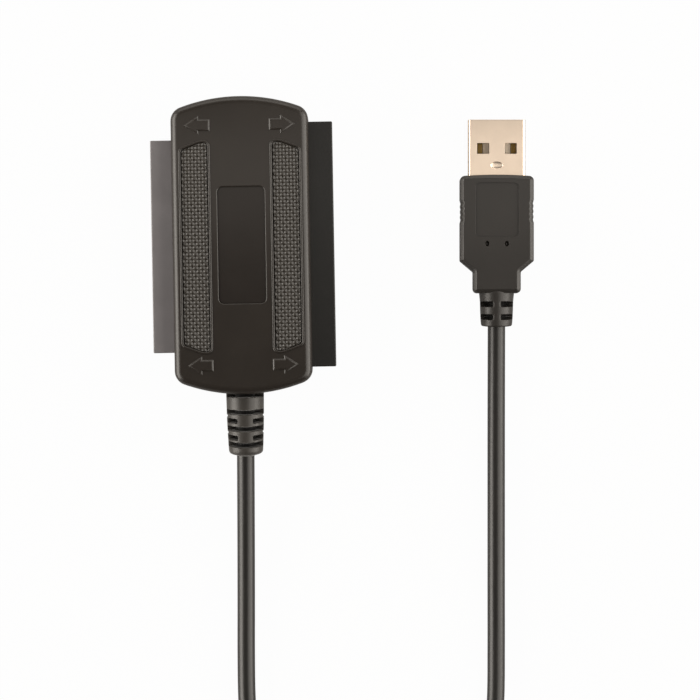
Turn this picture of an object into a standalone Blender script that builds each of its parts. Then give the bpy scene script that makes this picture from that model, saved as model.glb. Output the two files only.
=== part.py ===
# A drive adapter: a moulded casing with a 40-way socket, a 44-way socket and a SATA port, and its USB cord.
# Metres, +Z up. The origin is the centre of the casing's underside, +Y points to the SATA end and
# +X to the 40-way socket. The cord and the plug lie on the same surface as the casing.

import math

import bmesh
import bpy
from mathutils import Matrix, Vector

# Clearances
fit = 0.0003
fine_fit = 0.00015
overlap = 0.0005
beyond = 0.002

# Casing
casing_width = 0.0287
casing_length = 0.0622
casing_height = 0.0145
end_radius = 0.036
corner_radius = 0.003
top_round = 0.0019
bottom_round = 0.0012
wall = 0.0016
ceiling = 0.0016
lip_thickness = 0.0007
lip_height = 0.001

# Window and grip panels in the top cover
window_width = 0.0101
window_length = 0.0248
window_shift = 0.0003
window_corner = 0.0011
window_depth = 0.0004
panel_inner_x = 0.0065
panel_outer_x = 0.0127
panel_inner_half_length = 0.0218
panel_outer_half_length = 0.02
panel_corner = 0.0006
panel_depth = 0.0003
rim_width = 0.00025
rim_height = 0.00012

# Bosses that hold the board
boss_radius = 0.0019
pin_radius = 0.0008
pin_length = 0.0012
far_boss = (0.0065, 0.0165)
near_boss = (0.0066, 0.024)

# Circuit board
board_thickness = 0.0012
board_far_y = 0.0255
board_near_y = 0.0252

# Two-row sockets: each is built pointing to +X
socket_40 = {
    "name": "socket_40_way",
    "turn": 0.0,
    "columns": 20,
    "pitch": 0.00254,
    "end_margin": 0.0005,
    "thickness": 0.00508,
    "stands_out": 0.005,
    "depth": 0.0085,
    "mouth": 0.0016,
    "bore": 0.0009,
}
socket_44 = {
    "name": "socket_44_way",
    "turn": math.pi,
    "columns": 22,
    "pitch": 0.002,
    "end_margin": 0.0005,
    "thickness": 0.004,
    "stands_out": 0.0045,
    "depth": 0.0075,
    "mouth": 0.0013,
    "bore": 0.0008,
}
socket_edge = 0.00025
mouth_depth = 0.0004
bore_depth = 0.006
tail_length = 0.0018
tail_width = 0.0005
tail_thickness = 0.00025

# SATA port
port_width = 0.0168
port_height = 0.0063
port_depth = 0.009
port_recess = 0.0002
port_mouth_width = 0.0144
port_mouth_height = 0.0049
port_mouth_depth = 0.0065
tongue_length = 0.0058
tongue_width = 0.0104
tongue_thickness = 0.00125
tongue_rise = 0.0005
key_width = 0.0012
key_drop = 0.0014
sata_ways = 7
sata_pitch = 0.00127
sata_contact_width = 0.00084
sata_contact_thickness = 0.0002
sata_tail = 0.0015

# Strain relief at the box. Distances run outwards from the casing's near end.
boot_root_radius = 0.00395
boot_tip_radius = 0.00345
boot_length = 0.0129
boot_gap = 0.0005
boot_chamfer = 0.0006
boot_neck_radius = 0.003
boot_core_radius = 0.00315
boot_bridge = 0.00335
flange_radius = 0.0046
flange_thickness = 0.0015
top_slots = (0.00372, 0.00722, 0.01047)
top_slot_width = 0.00095
side_slots = (0.0054, 0.00885)
side_slot_width = 0.0011
slot_web = 0.0012
saddle_thickness = 0.001
saddle_half_width = 0.0055
wire_hole_radius = 0.0026

# Cord
cord_radius = 0.00185
point_spacing = 0.009
lie_turn = math.radians(-1.0)
wire_radius = 0.00045
wire_pitch = 0.0011
wire_land_y = 0.0228

# Coil and its strap
coil_centre = (0.02715, -0.1265)
coil_radius = 0.021
strand_pitch = 0.00375
strap_width = 0.006
strap_thickness = 0.0006

# USB plug: the origin of its own frame is on the surface below the front of the moulding
plug_place = (0.0535, 0.0149)
grip_thickness = 0.008
grip_half_width = 0.00772
grip_front_corner = 0.0009
grip_shoulder_y = 0.0181
grip_waist_y = 0.0204
grip_waist_half_width = 0.005
grip_length = 0.02484
grip_back_corner = 0.0008
grip_round = 0.0009
rib_zone = (0.00545, 0.00996)
rib_count = 4
rib_radius = 0.00035
rib_depth = 0.0002
grip_panel_half_width = 0.0046
grip_panel_y = (0.0017, 0.01305)
grip_panel_corner = 0.0009
grip_panel_depth = 0.00025
dimple_x = 0.00205
dimple_y = 0.0145
dimple_radii = (0.00043, 0.0006)
dimple_depth = 0.0009
relief_length = 0.00683
relief_root_radius = 0.0036
relief_tip_radius = 0.00328
relief_chamfer = 0.0003
relief_core_radius = 0.0024
relief_slots = (0.00243, 0.00513)
relief_slot_width = 0.0009
relief_bridge = 0.00135

shell_width = 0.012
shell_height = 0.0045
shell_wall = 0.0003
shell_corner = 0.0006
shell_exposed = 0.0116
shell_length = 0.01875
shell_seam = 0.00015
latch_hole_x = 0.0029
latch_hole_width = 0.0025
latch_hole_length = 0.0022
latch_hole_from_tip = 0.005
shell_dimple_from_tip = 0.0096
shell_dimple_radii = (0.00125, 0.0007, 0.00015)
plug_tongue_thickness = 0.00165
plug_tongue_from_tip = 0.0005
plug_contact_width = 0.001
plug_contact_thickness = 0.0003
plug_contact_from_tip = (0.0012, 0.0022, 0.0022, 0.0012)
plug_contact_x = (-0.0035, -0.001, 0.001, 0.0035)
core_length = 0.008

# Heights that several pieces share
mid_height = casing_height / 2
board_top = mid_height + board_thickness / 2
board_bottom = mid_height - board_thickness / 2
plug_axis = grip_thickness / 2
strand_reach = strand_pitch / 2 + cord_radius
coil_bottom = strap_thickness + fit
coil_top = coil_bottom + 2 * strand_reach


# Scene, objects and materials


def clear_scene():
    for thing in list(bpy.data.objects):
        bpy.data.objects.remove(thing, do_unlink=True)


def new_collection(name):
    collection = bpy.data.collections.new(name)
    bpy.context.scene.collection.children.link(collection)
    return collection


def finish(piece, colour, roughness, metallic=0.0):
    """Makes a piece part of the model, with a material of its own."""
    cutters.objects.unlink(piece)
    parts.objects.link(piece)
    piece.hide_render = False
    piece.display_type = "TEXTURED"
    material = bpy.data.materials.new(piece.name)
    material.use_nodes = True
    surface = material.node_tree.nodes["Principled BSDF"]
    surface.inputs["Base Color"].default_value = (*colour, 1.0)
    surface.inputs["Roughness"].default_value = roughness
    surface.inputs["Metallic"].default_value = metallic
    material.diffuse_color = (*colour, 1.0)
    piece.data.materials.clear()
    piece.data.materials.append(material)
    return piece


def smooth(piece, degrees=35):
    piece.data.shade_smooth()
    piece.data.set_sharp_from_angle(angle=math.radians(degrees))
    return piece


def helper(name, data):
    """Every shape starts as a hidden helper. It stays a cutter unless finish makes it a part."""
    thing = bpy.data.objects.new(name, data)
    thing.hide_render = True
    thing.display_type = "WIRE"
    cutters.objects.link(thing)
    return thing


def mesh_object(name, form):
    mesh = bpy.data.meshes.new(name)
    bmesh.ops.recalc_face_normals(form, faces=form.faces)
    form.to_mesh(mesh)
    form.free()
    return helper(name, mesh)


def as_mesh(curve_object):
    """A curve object made a mesh object with its caps welded to its sides and its flat faces whole."""
    name = curve_object.name
    mesh = bpy.data.meshes.new_from_object(curve_object)
    form = bmesh.new()
    form.from_mesh(mesh)
    form.transform(curve_object.matrix_basis)
    bpy.data.objects.remove(curve_object)
    bpy.data.meshes.remove(mesh)
    bmesh.ops.remove_doubles(form, verts=form.verts, dist=1e-6)
    bmesh.ops.dissolve_limit(form, angle_limit=math.radians(0.3), verts=form.verts, edges=form.edges)
    made = mesh_object(name, form)
    made.name = name
    return made


def boolean(piece, others, operation):
    for other in others:
        modifier = piece.modifiers.new(f"{operation.lower()} {other.name}", "BOOLEAN")
        modifier.operation = operation
        modifier.solver = "EXACT"
        modifier.object = other
    return piece


def cut(piece, *others):
    return boolean(piece, others, "DIFFERENCE")


def join(piece, *others):
    return boolean(piece, others, "UNION")


def under(empty, *things):
    for thing in things:
        thing.parent = empty
        for modifier in thing.modifiers:
            if modifier.type == "BOOLEAN" and modifier.object.parent is None:
                under(empty, modifier.object)


def new_empty(name, place, turn):
    empty = bpy.data.objects.new(name, None)
    empty.location = place
    empty.rotation_euler.z = turn
    parts.objects.link(empty)
    return empty


# Shapes


def block(name, low, high):
    form = bmesh.new()
    bmesh.ops.create_cube(form, size=1.0)
    size = Vector(high) - Vector(low)
    middle = (Vector(high) + Vector(low)) / 2
    bmesh.ops.scale(form, vec=size, verts=form.verts)
    bmesh.ops.translate(form, vec=middle, verts=form.verts)
    return mesh_object(name, form)


def rod(name, radius, low, high, centre=(0.0, 0.0), axis="Z", sides=24):
    """A cylinder along an axis: centre holds the other two coordinates, in X, Y, Z order."""
    form = bmesh.new()
    bmesh.ops.create_cone(
        form, cap_ends=True, segments=sides, radius1=radius, radius2=radius, depth=high - low
    )
    along = (low + high) / 2
    if axis == "Y":
        bmesh.ops.rotate(form, matrix=Matrix.Rotation(math.pi / 2, 3, "X"), verts=form.verts)
        place = (centre[0], along, centre[1])
    else:
        place = (centre[0], centre[1], along)
    bmesh.ops.translate(form, vec=place, verts=form.verts)
    return mesh_object(name, form)


def gather(name, pieces):
    """Separate shapes made one helper mesh."""
    form = bmesh.new()
    for piece in pieces:
        form.from_mesh(piece.data)
        bpy.data.objects.remove(piece)
    return mesh_object(name, form)


def prism(name, outlines, low, high, axis="Z"):
    """Closed outlines filled and given a thickness. Along Y an outline is in X and Z, along X in Y and Z."""
    curve = bpy.data.curves.new(name, "CURVE")
    curve.dimensions = "2D"
    curve.fill_mode = "BOTH"
    curve.extrude = (high - low) / 2
    for outline in outlines:
        spline = curve.splines.new("POLY")
        spline.points.add(len(outline) - 1)
        for point, (a, b) in zip(spline.points, outline):
            point.co = (a, b, 0.0, 1.0)
        spline.use_cyclic_u = True
    sheet = helper(name, curve)
    middle = (low + high) / 2
    if axis == "Y":
        sheet.rotation_euler.x = math.pi / 2
        sheet.location.y = middle
    elif axis == "X":
        sheet.rotation_euler = (math.pi / 2, 0.0, math.pi / 2)
        sheet.location.x = middle
    else:
        sheet.location.z = middle
    return as_mesh(sheet)


def turned(name, profile, steps):
    """A profile of (radius, height) points turned about Z. It runs down its outer side, top to bottom."""
    mesh = bpy.data.meshes.new(name)
    closed = profile[0][0] > 0
    count = len(profile)
    edges = [(i, i + 1) for i in range(count - 1)]
    if closed:
        edges.append((count - 1, 0))
    mesh.from_pydata([(radius, 0.0, height) for radius, height in profile], edges, [])
    thing = helper(name, mesh)
    screw = thing.modifiers.new("turn", "SCREW")
    screw.steps = steps
    screw.render_steps = steps
    screw.use_merge_vertices = True
    screw.merge_threshold = 1e-6
    return thing


def baked(thing, transform=None):
    """The shape that an object's modifiers make, as a plain mesh."""
    name = thing.name
    bpy.context.view_layer.update()
    graph = bpy.context.evaluated_depsgraph_get()
    mesh = bpy.data.meshes.new_from_object(thing.evaluated_get(graph))
    form = bmesh.new()
    form.from_mesh(mesh)
    bpy.data.objects.remove(thing)
    bpy.data.meshes.remove(mesh)
    if transform is not None:
        form.transform(transform)
    made = mesh_object(name, form)
    made.name = name
    return made


def tube(name, points, radius):
    curve = bpy.data.curves.new(name, "CURVE")
    curve.dimensions = "3D"
    curve.bevel_depth = radius
    curve.bevel_resolution = 2
    curve.use_fill_caps = True
    spline = curve.splines.new("POLY")
    spline.points.add(len(points) - 1)
    for point, place in zip(spline.points, points):
        point.co = (*place, 1.0)
    return helper(name, curve)


def round_edges(piece, chosen, width, segments):
    """Rounds the edges whose two ends both pass the test."""
    form = bmesh.new()
    form.from_mesh(piece.data)
    edges = [edge for edge in form.edges if all(chosen(vert.co) for vert in edge.verts)]
    bmesh.ops.bevel(
        form, geom=edges, offset=width, segments=segments, profile=0.5, affect="EDGES", clamp_overlap=True
    )
    form.to_mesh(piece.data)
    form.free()
    return piece


def bevelled(piece, width, segments=1):
    modifier = piece.modifiers.new("edges", "BEVEL")
    modifier.width = width
    modifier.segments = segments
    modifier.limit_method = "ANGLE"
    modifier.angle_limit = math.radians(40)
    return piece


# Outlines


def arc(centre, radius, start, end, steps):
    angles = [start + (end - start) * i / steps for i in range(steps + 1)]
    return [(centre[0] + radius * math.cos(a), centre[1] + radius * math.sin(a)) for a in angles]


def ellipse(centre, radii, steps=12):
    angles = [2 * math.pi * i / steps for i in range(steps)]
    return [(centre[0] + radii[0] * math.cos(a), centre[1] + radii[1] * math.sin(a)) for a in angles]


def rounded(corners, radius, steps=4):
    """A closed outline through the corners, each turned by an arc. A corner may give a radius of its own."""
    outline = []
    for i, corner in enumerate(corners):
        here = Vector(corner[:2])
        back = (Vector(corners[i - 1][:2]) - here).normalized()
        ahead = (Vector(corners[(i + 1) % len(corners)][:2]) - here).normalized()
        turn = corner[2] if len(corner) > 2 else radius
        if turn == 0:
            outline.append(tuple(here))
            continue
        half = back.angle(ahead) / 2
        centre = here + (back + ahead).normalized() * turn / math.sin(half)
        reach = turn / math.tan(half)
        start = here + back * reach - centre
        end = here + ahead * reach - centre
        first = math.atan2(start.y, start.x)
        sweep = (math.atan2(end.y, end.x) - first + math.pi) % (2 * math.pi) - math.pi
        outline += arc(centre, turn, first, first + sweep, steps)
    return outline


def rectangle(half_a, half_b, centre=(0.0, 0.0)):
    a, b = centre
    return [
        (a + half_a, b - half_b),
        (a + half_a, b + half_b),
        (a - half_a, b + half_b),
        (a - half_a, b - half_b),
    ]


def casing_outline(inset):
    """The casing from above, inset from its outer face: straight sides and two shallow arcs."""
    radius = end_radius - inset
    corner = max(corner_radius - inset, fit)
    arc_y = casing_length / 2 - end_radius
    corner_x = casing_width / 2 - inset - corner
    corner_y = arc_y + math.sqrt((radius - corner) ** 2 - corner_x**2)
    lean = math.atan2(corner_y - arc_y, corner_x)
    far = arc((corner_x, corner_y), corner, 0.0, lean, 4)
    far += arc((0.0, arc_y), radius, lean, math.pi - lean, 12)[1:-1]
    far += arc((-corner_x, corner_y), corner, math.pi - lean, math.pi, 4)
    return far + [(-x, -y) for x, y in far]


def end_distance(inset, x):
    """How far the end arc lies from the casing's centre at this distance from its axis."""
    return casing_length / 2 - end_radius + math.sqrt((end_radius - inset) ** 2 - x**2)


def panel_corners(side, grow):
    inner = side * (panel_inner_x - grow)
    outer = side * (panel_outer_x + grow)
    corners = [
        (inner, -panel_inner_half_length - grow),
        (outer, -panel_outer_half_length - grow),
        (outer, panel_outer_half_length + grow),
        (inner, panel_inner_half_length + grow),
    ]
    return rounded(corners, panel_corner)


def socket_length(spec):
    return spec["columns"] * spec["pitch"] + spec["end_margin"]


def socket_outer(spec):
    return casing_width / 2 + spec["stands_out"]


def socket_inner(spec):
    return socket_outer(spec) - spec["depth"]


# Where the port, the boot and the saddle stand
port_face = end_distance(0.0, port_width / 2) - port_recess
port_back = port_face - port_depth
flange_outer = -end_distance(wall, flange_radius) + fit
flange_inner = flange_outer + flange_thickness
saddle_outer = flange_inner + fit
boot_start = -casing_length / 2
boot_tip = boot_start - boot_length


# The casing


def boss_places():
    far_x, far_y = far_boss
    near_x, near_y = near_boss
    return [(far_x, far_y), (-far_x, far_y), (near_x, -near_y), (-near_x, -near_y)]


def casing_openings():
    """What is cut through both covers: the sockets, the port and the strain relief."""
    openings = []
    for spec in (socket_40, socket_44):
        half_length = socket_length(spec) / 2 + fit
        half_height = spec["thickness"] / 2 + fit
        near_x = casing_width / 2 - wall - lip_thickness - beyond
        far_x = casing_width / 2 + beyond
        opening = block(
            f"{spec['name']}_opening",
            (near_x, -half_length, mid_height - half_height),
            (far_x, half_length, mid_height + half_height),
        )
        opening.rotation_euler.z = spec["turn"]
        openings.append(opening)
    half_width = port_width / 2 + fit
    half_height = port_height / 2 + fit
    inner_y = end_distance(wall, port_width / 2) - beyond
    openings.append(
        block(
            "sata_opening",
            (-half_width, inner_y, mid_height - half_height),
            (half_width, casing_length / 2 + beyond, mid_height + half_height),
        )
    )
    near_wall = -end_distance(wall, 0.0)
    openings.append(
        rod(
            "boot_opening",
            boot_neck_radius + fit,
            boot_start - beyond,
            near_wall + beyond,
            (0.0, mid_height),
            "Y",
            32,
        )
    )
    return openings


def saddle(name, low, high):
    """The rib across the cover that keeps the strain relief's flange against the end wall."""
    rib = block(
        name,
        (-saddle_half_width, saddle_outer, low),
        (saddle_half_width, saddle_outer + saddle_thickness, high),
    )
    return rib


def wire_opening(name):
    return rod(
        name,
        wire_hole_radius,
        saddle_outer - overlap,
        saddle_outer + saddle_thickness + overlap,
        (0.0, mid_height),
        "Y",
    )


def make_top_cover(openings):
    low = mid_height + fit / 2
    cover = prism("top_cover", [casing_outline(0.0)], low, casing_height)
    round_edges(cover, lambda place: place.z > casing_height - fine_fit, top_round, 4)
    inside = casing_height - ceiling
    for side in (-1, 1):
        rim_low = casing_height - ceiling / 2
        rim = prism(f"rim_{side}", [panel_corners(side, rim_width)], rim_low, casing_height + rim_height)
        panel_floor = casing_height - panel_depth
        recess = prism(
            f"panel_{side}", [panel_corners(side, 0.0)], panel_floor, casing_height + beyond
        )
        join(cover, rim)
        cut(cover, recess)
    window_corners = rectangle(window_width / 2, window_length / 2, (0.0, window_shift))
    window = prism(
        "window",
        [rounded(window_corners, window_corner)],
        casing_height - window_depth,
        casing_height + beyond,
    )
    cavity = prism("top_cavity", [casing_outline(wall)], low - beyond, inside)
    rebate = prism(
        "lip_rebate",
        [casing_outline(wall - lip_thickness - fit)],
        low - beyond,
        low + lip_height + fit / 2,
    )
    bosses = gather(
        "top_bosses",
        [rod("boss", boss_radius, board_top + fit, inside + overlap, place) for place in boss_places()],
    )
    boss_holes = gather(
        "top_boss_holes",
        [
            rod("hole", pin_radius + fit, board_top - fit, board_top + fit + pin_length + fit, place, sides=12)
            for place in boss_places()
        ],
    )
    cut(cover, window, cavity, rebate)
    join(cover, bosses, saddle("top_saddle", low, inside + overlap))
    cut(cover, boss_holes, wire_opening("top_wire_opening"), *openings)
    return finish(smooth(cover), (0.035, 0.031, 0.027), 0.42)


def make_bottom_cover(openings):
    high = mid_height - fit / 2
    cover = prism("bottom_cover", [casing_outline(0.0)], 0.0, high)
    round_edges(cover, lambda place: place.z < fine_fit, bottom_round, 3)
    lip = prism(
        "lip", [casing_outline(wall - lip_thickness)], high - overlap, high + fit / 2 + lip_height
    )
    cavity = prism("bottom_cavity", [casing_outline(wall)], ceiling, high + lip_height + beyond)
    bosses = gather(
        "bottom_bosses",
        [
            rod("boss", boss_radius, ceiling - overlap, board_bottom - fit, place)
            for place in boss_places()
        ],
    )
    pins = gather(
        "pins",
        [
            rod("pin", pin_radius, ceiling, board_top + pin_length, place, sides=12)
            for place in boss_places()
        ],
    )
    join(cover, lip)
    cut(cover, cavity)
    join(cover, bosses, pins, saddle("bottom_saddle", ceiling - overlap, high))
    cut(cover, wire_opening("bottom_wire_opening"), *openings)
    return finish(smooth(cover), (0.035, 0.031, 0.027), 0.45)


# The sockets


def frustum(name, wide, narrow, depth, place):
    """A square funnel that narrows towards -X, its wide end at the given place."""
    form = bmesh.new()
    bmesh.ops.create_cone(
        form,
        cap_ends=True,
        segments=4,
        radius1=narrow / math.sqrt(2),
        radius2=wide / math.sqrt(2),
        depth=depth,
    )
    bmesh.ops.rotate(form, matrix=Matrix.Rotation(math.pi / 4, 3, "Z"), verts=form.verts)
    bmesh.ops.rotate(form, matrix=Matrix.Rotation(math.pi / 2, 3, "Y"), verts=form.verts)
    bmesh.ops.translate(form, vec=Vector(place) - Vector((depth / 2, 0, 0)), verts=form.verts)
    return mesh_object(name, form)


def make_socket(spec):
    name = spec["name"]
    half_length = socket_length(spec) / 2
    half_height = spec["thickness"] / 2
    outer = socket_outer(spec)
    inner = socket_inner(spec)
    housing = block(
        name,
        (inner, -half_length, mid_height - half_height),
        (outer, half_length, mid_height + half_height),
    )
    bevelled(housing, socket_edge)
    mouths, bores, tails = [], [], []
    lead = mouth_depth / 4
    for column in range(spec["columns"]):
        y = (column - (spec["columns"] - 1) / 2) * spec["pitch"]
        for row in (-0.5, 0.5):
            z = mid_height + row * spec["pitch"]
            wide = spec["mouth"] * (1 + lead / mouth_depth)
            narrow = spec["bore"] * 0.8
            mouths.append(frustum("mouth", wide, narrow, mouth_depth + lead, (outer + lead, y, z)))
            half = spec["bore"] / 2
            bores.append(
                block("bore", (outer - bore_depth, y - half, z - half), (outer + lead / 2, y + half, z + half))
            )
            tails.append(
                block(
                    "tail",
                    (inner - tail_length, y - tail_width / 2, z - tail_thickness / 2),
                    (inner + overlap, y + tail_width / 2, z + tail_thickness / 2),
                )
            )
    cut(housing, gather(f"{name}_mouths", mouths), gather(f"{name}_bores", bores))
    join(housing, gather(f"{name}_tails", tails))
    under(new_empty(f"{name}_place", (0.0, 0.0, 0.0), spec["turn"]), housing)
    return finish(housing, (0.022, 0.021, 0.02), 0.5)


# The SATA port


def sata_contact_places():
    return [(i - (sata_ways - 1) / 2) * sata_pitch for i in range(sata_ways)]


def make_sata_port():
    tongue_top = mid_height + tongue_rise + tongue_thickness / 2
    tongue_bottom = tongue_top - tongue_thickness
    back_wall = port_face - port_mouth_depth
    tongue_tip = back_wall + tongue_length
    port = block(
        "sata_port",
        (-port_width / 2, port_back, mid_height - port_height / 2),
        (port_width / 2, port_face, mid_height + port_height / 2),
    )
    bevelled(port, socket_edge)
    mouth = block(
        "sata_mouth",
        (-port_mouth_width / 2, back_wall, mid_height - port_mouth_height / 2),
        (port_mouth_width / 2, port_face + beyond, mid_height + port_mouth_height / 2),
    )
    half = tongue_width / 2
    tongue_outline = [
        (-half, tongue_bottom),
        (half - key_width, tongue_bottom),
        (half - key_width, tongue_bottom - key_drop),
        (half, tongue_bottom - key_drop),
        (half, tongue_top),
        (-half, tongue_top),
    ]
    tongue = prism("sata_tongue", [tongue_outline], back_wall - overlap, tongue_tip, "Y")
    cut(port, mouth)
    join(port, tongue)
    grooves = []
    half = sata_contact_width / 2 + fine_fit
    contact_bottom = tongue_top - sata_contact_thickness
    for x in sata_contact_places():
        grooves.append(
            block(
                "groove",
                (x - half, port_back - beyond, contact_bottom - fine_fit),
                (x + half, tongue_tip - fit, tongue_top + fine_fit),
            )
        )
    cut(port, gather("sata_grooves", grooves))
    finish(port, (0.02, 0.02, 0.02), 0.45)
    half = sata_contact_width / 2
    for i, x in enumerate(sata_contact_places()):
        contact = block(
            f"sata_contact_{i + 1}",
            (x - half, port_back - sata_tail, contact_bottom),
            (x + half, tongue_tip - fit - fine_fit, tongue_top),
        )
        finish(contact, (0.75, 0.58, 0.3), 0.3, 1.0)


# The circuit board and what is soldered to it


def make_board():
    right = socket_inner(socket_40) - fit
    left = -(socket_inner(socket_44) - fit)
    board = block("circuit_board", (left, -board_near_y, board_bottom), (right, board_far_y, board_top))
    notch = block(
        "port_notch",
        (-port_width / 2 - fit, port_back - fit, board_bottom - beyond),
        (port_width / 2 + fit, board_far_y + beyond, board_top + beyond),
    )
    holes = [
        rod("hole", pin_radius + fit, board_bottom - beyond, board_top + beyond, place, sides=12)
        for place in boss_places()
    ]
    cut(board, notch, gather("board_holes", holes))
    finish(board, (0.012, 0.09, 0.035), 0.4)


def make_chip(name, size, place, colour=(0.015, 0.015, 0.016), roughness=0.5):
    """A low block on the board with bevelled edges: size is its width, length and height."""
    width, length, height = size
    low = board_top + fit
    chip = block(
        name,
        (place[0] - width / 2, place[1] - length / 2, low),
        (place[0] + width / 2, place[1] + length / 2, low + height),
    )
    bevelled(chip, height * 0.12)
    return finish(chip, colour, roughness)


def make_leaded_chip(name, size, place, lead_xs, lead_size):
    """A chip with leads along its two long sides."""
    chip = make_chip(name, size, place)
    width, length, height = size
    lead_width, lead_reach, lead_thickness = lead_size
    low = board_top + fit
    leads = [
        block(
            "lead",
            (place[0] + x - lead_width / 2, place[1] - length / 2 - lead_reach, low),
            (place[0] + x + lead_width / 2, place[1] + length / 2 + lead_reach, low + lead_thickness),
        )
        for x in lead_xs
    ]
    join(chip, gather(f"{name}_leads", leads))


def make_board_parts():
    make_chip("bridge_chip", (0.009, 0.009, 0.001), (0.0, -0.004))
    lead_xs = [(i - 1.5) * 0.00127 for i in range(4)]
    make_leaded_chip(
        "memory_chip", (0.005, 0.0039, 0.0015), (-0.0042, -0.0145), lead_xs, (0.0004, 0.001, 0.0003)
    )
    make_leaded_chip(
        "regulator", (0.0065, 0.0035, 0.0016), (0.0042, -0.0145), (-0.0023, 0.0, 0.0023), (0.0007, 0.0016, 0.0003)
    )
    make_chip("capacitor_input", (0.0035, 0.0028, 0.0019), (0.0045, 0.0075), (0.45, 0.28, 0.06))
    make_chip("capacitor_output", (0.0035, 0.0028, 0.0019), (-0.0045, 0.0075), (0.45, 0.28, 0.06))
    make_chip("ferrite_bead", (0.002, 0.0012, 0.0011), (0.0, -0.0195), (0.06, 0.06, 0.065))
    case = rounded(rectangle(0.0055, 0.0022, (0.0, 0.0125)), 0.0021, 6)
    crystal = prism("crystal", [case], board_top + fit, board_top + fit + 0.0033)
    bevelled(crystal, 0.0004, 2)
    finish(smooth(crystal), (0.6, 0.6, 0.6), 0.3, 1.0)


# Strain reliefs


def slot_cutter(name, place, width, inner_radius, bridge_box):
    """A ring that takes a slot out of a strain relief along Y, down to its core, less the bridge it leaves."""
    outer_radius = 2 * inner_radius
    half = width / 2
    profile = [(inner_radius, half), (outer_radius, half), (outer_radius, -half), (inner_radius, -half)]
    lay = Matrix.Translation(place) @ Matrix.Rotation(math.pi / 2, 4, "X")
    ring = baked(turned(name, profile, 32), lay)
    half_x, half_z = bridge_box
    x, y, z = place
    bridge = block(f"{name}_bridge", (x - half_x, y - width, z - half_z), (x + half_x, y + width, z + half_z))
    slot = baked(cut(ring, bridge))
    bpy.data.objects.remove(bridge)
    return slot


def relief_body(name, profile, height):
    """A turned body along -Y: its profile gives the radius at each distance, from the root to the tip."""
    laid = [(radius, -distance) for distance, radius in profile]
    body = turned(name, [(0.0, laid[0][1])] + laid + [(0.0, laid[-1][1])], 32)
    lay = Matrix.Translation((0.0, 0.0, height)) @ Matrix.Rotation(-math.pi / 2, 4, "X")
    return baked(body, lay)


def make_boot():
    reach = boot_length - boot_chamfer
    profile = [
        (-flange_inner, flange_radius),
        (-flange_outer, flange_radius),
        (-flange_outer, boot_neck_radius),
        (-boot_start + boot_gap, boot_neck_radius),
        (-boot_start + boot_gap, boot_root_radius),
        (-boot_start + reach, boot_tip_radius),
        (-boot_start + reach + boot_chamfer / 2, boot_tip_radius - boot_chamfer / 2),
        (-boot_tip, cord_radius + fit),
    ]
    boot = relief_body("cord_boot", profile, mid_height)
    far = 2 * boot_root_radius
    slots = [(distance, top_slot_width, (far, slot_web / 2)) for distance in top_slots]
    slots += [(distance, side_slot_width, (boot_bridge / 2, far)) for distance in side_slots]
    cutter_list = [
        slot_cutter("slot", (0.0, boot_start - distance, mid_height), width, boot_core_radius, bridge)
        for distance, width, bridge in slots
    ]
    cut(boot, gather("boot_slots", cutter_list))
    return finish(smooth(boot, 30), (0.03, 0.028, 0.026), 0.45)


# The plug, in its own frame: +Y to the tip


def grip_outline(grow):
    half = grip_half_width + grow
    waist = grip_waist_half_width + grow
    right = [
        (waist, -grip_length, grip_back_corner),
        (waist, -grip_waist_y, 0),
        (half, -grip_shoulder_y, 0),
        (half, 0.0, grip_front_corner),
    ]
    left = [(-corner[0], *corner[1:]) for corner in reversed(right)]
    return rounded(right + left, grip_front_corner, 3)


def shell_outline(grow):
    return rounded(
        rectangle(shell_width / 2 + grow, shell_height / 2 + grow, (0.0, plug_axis)), shell_corner + grow, 3
    )


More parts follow.
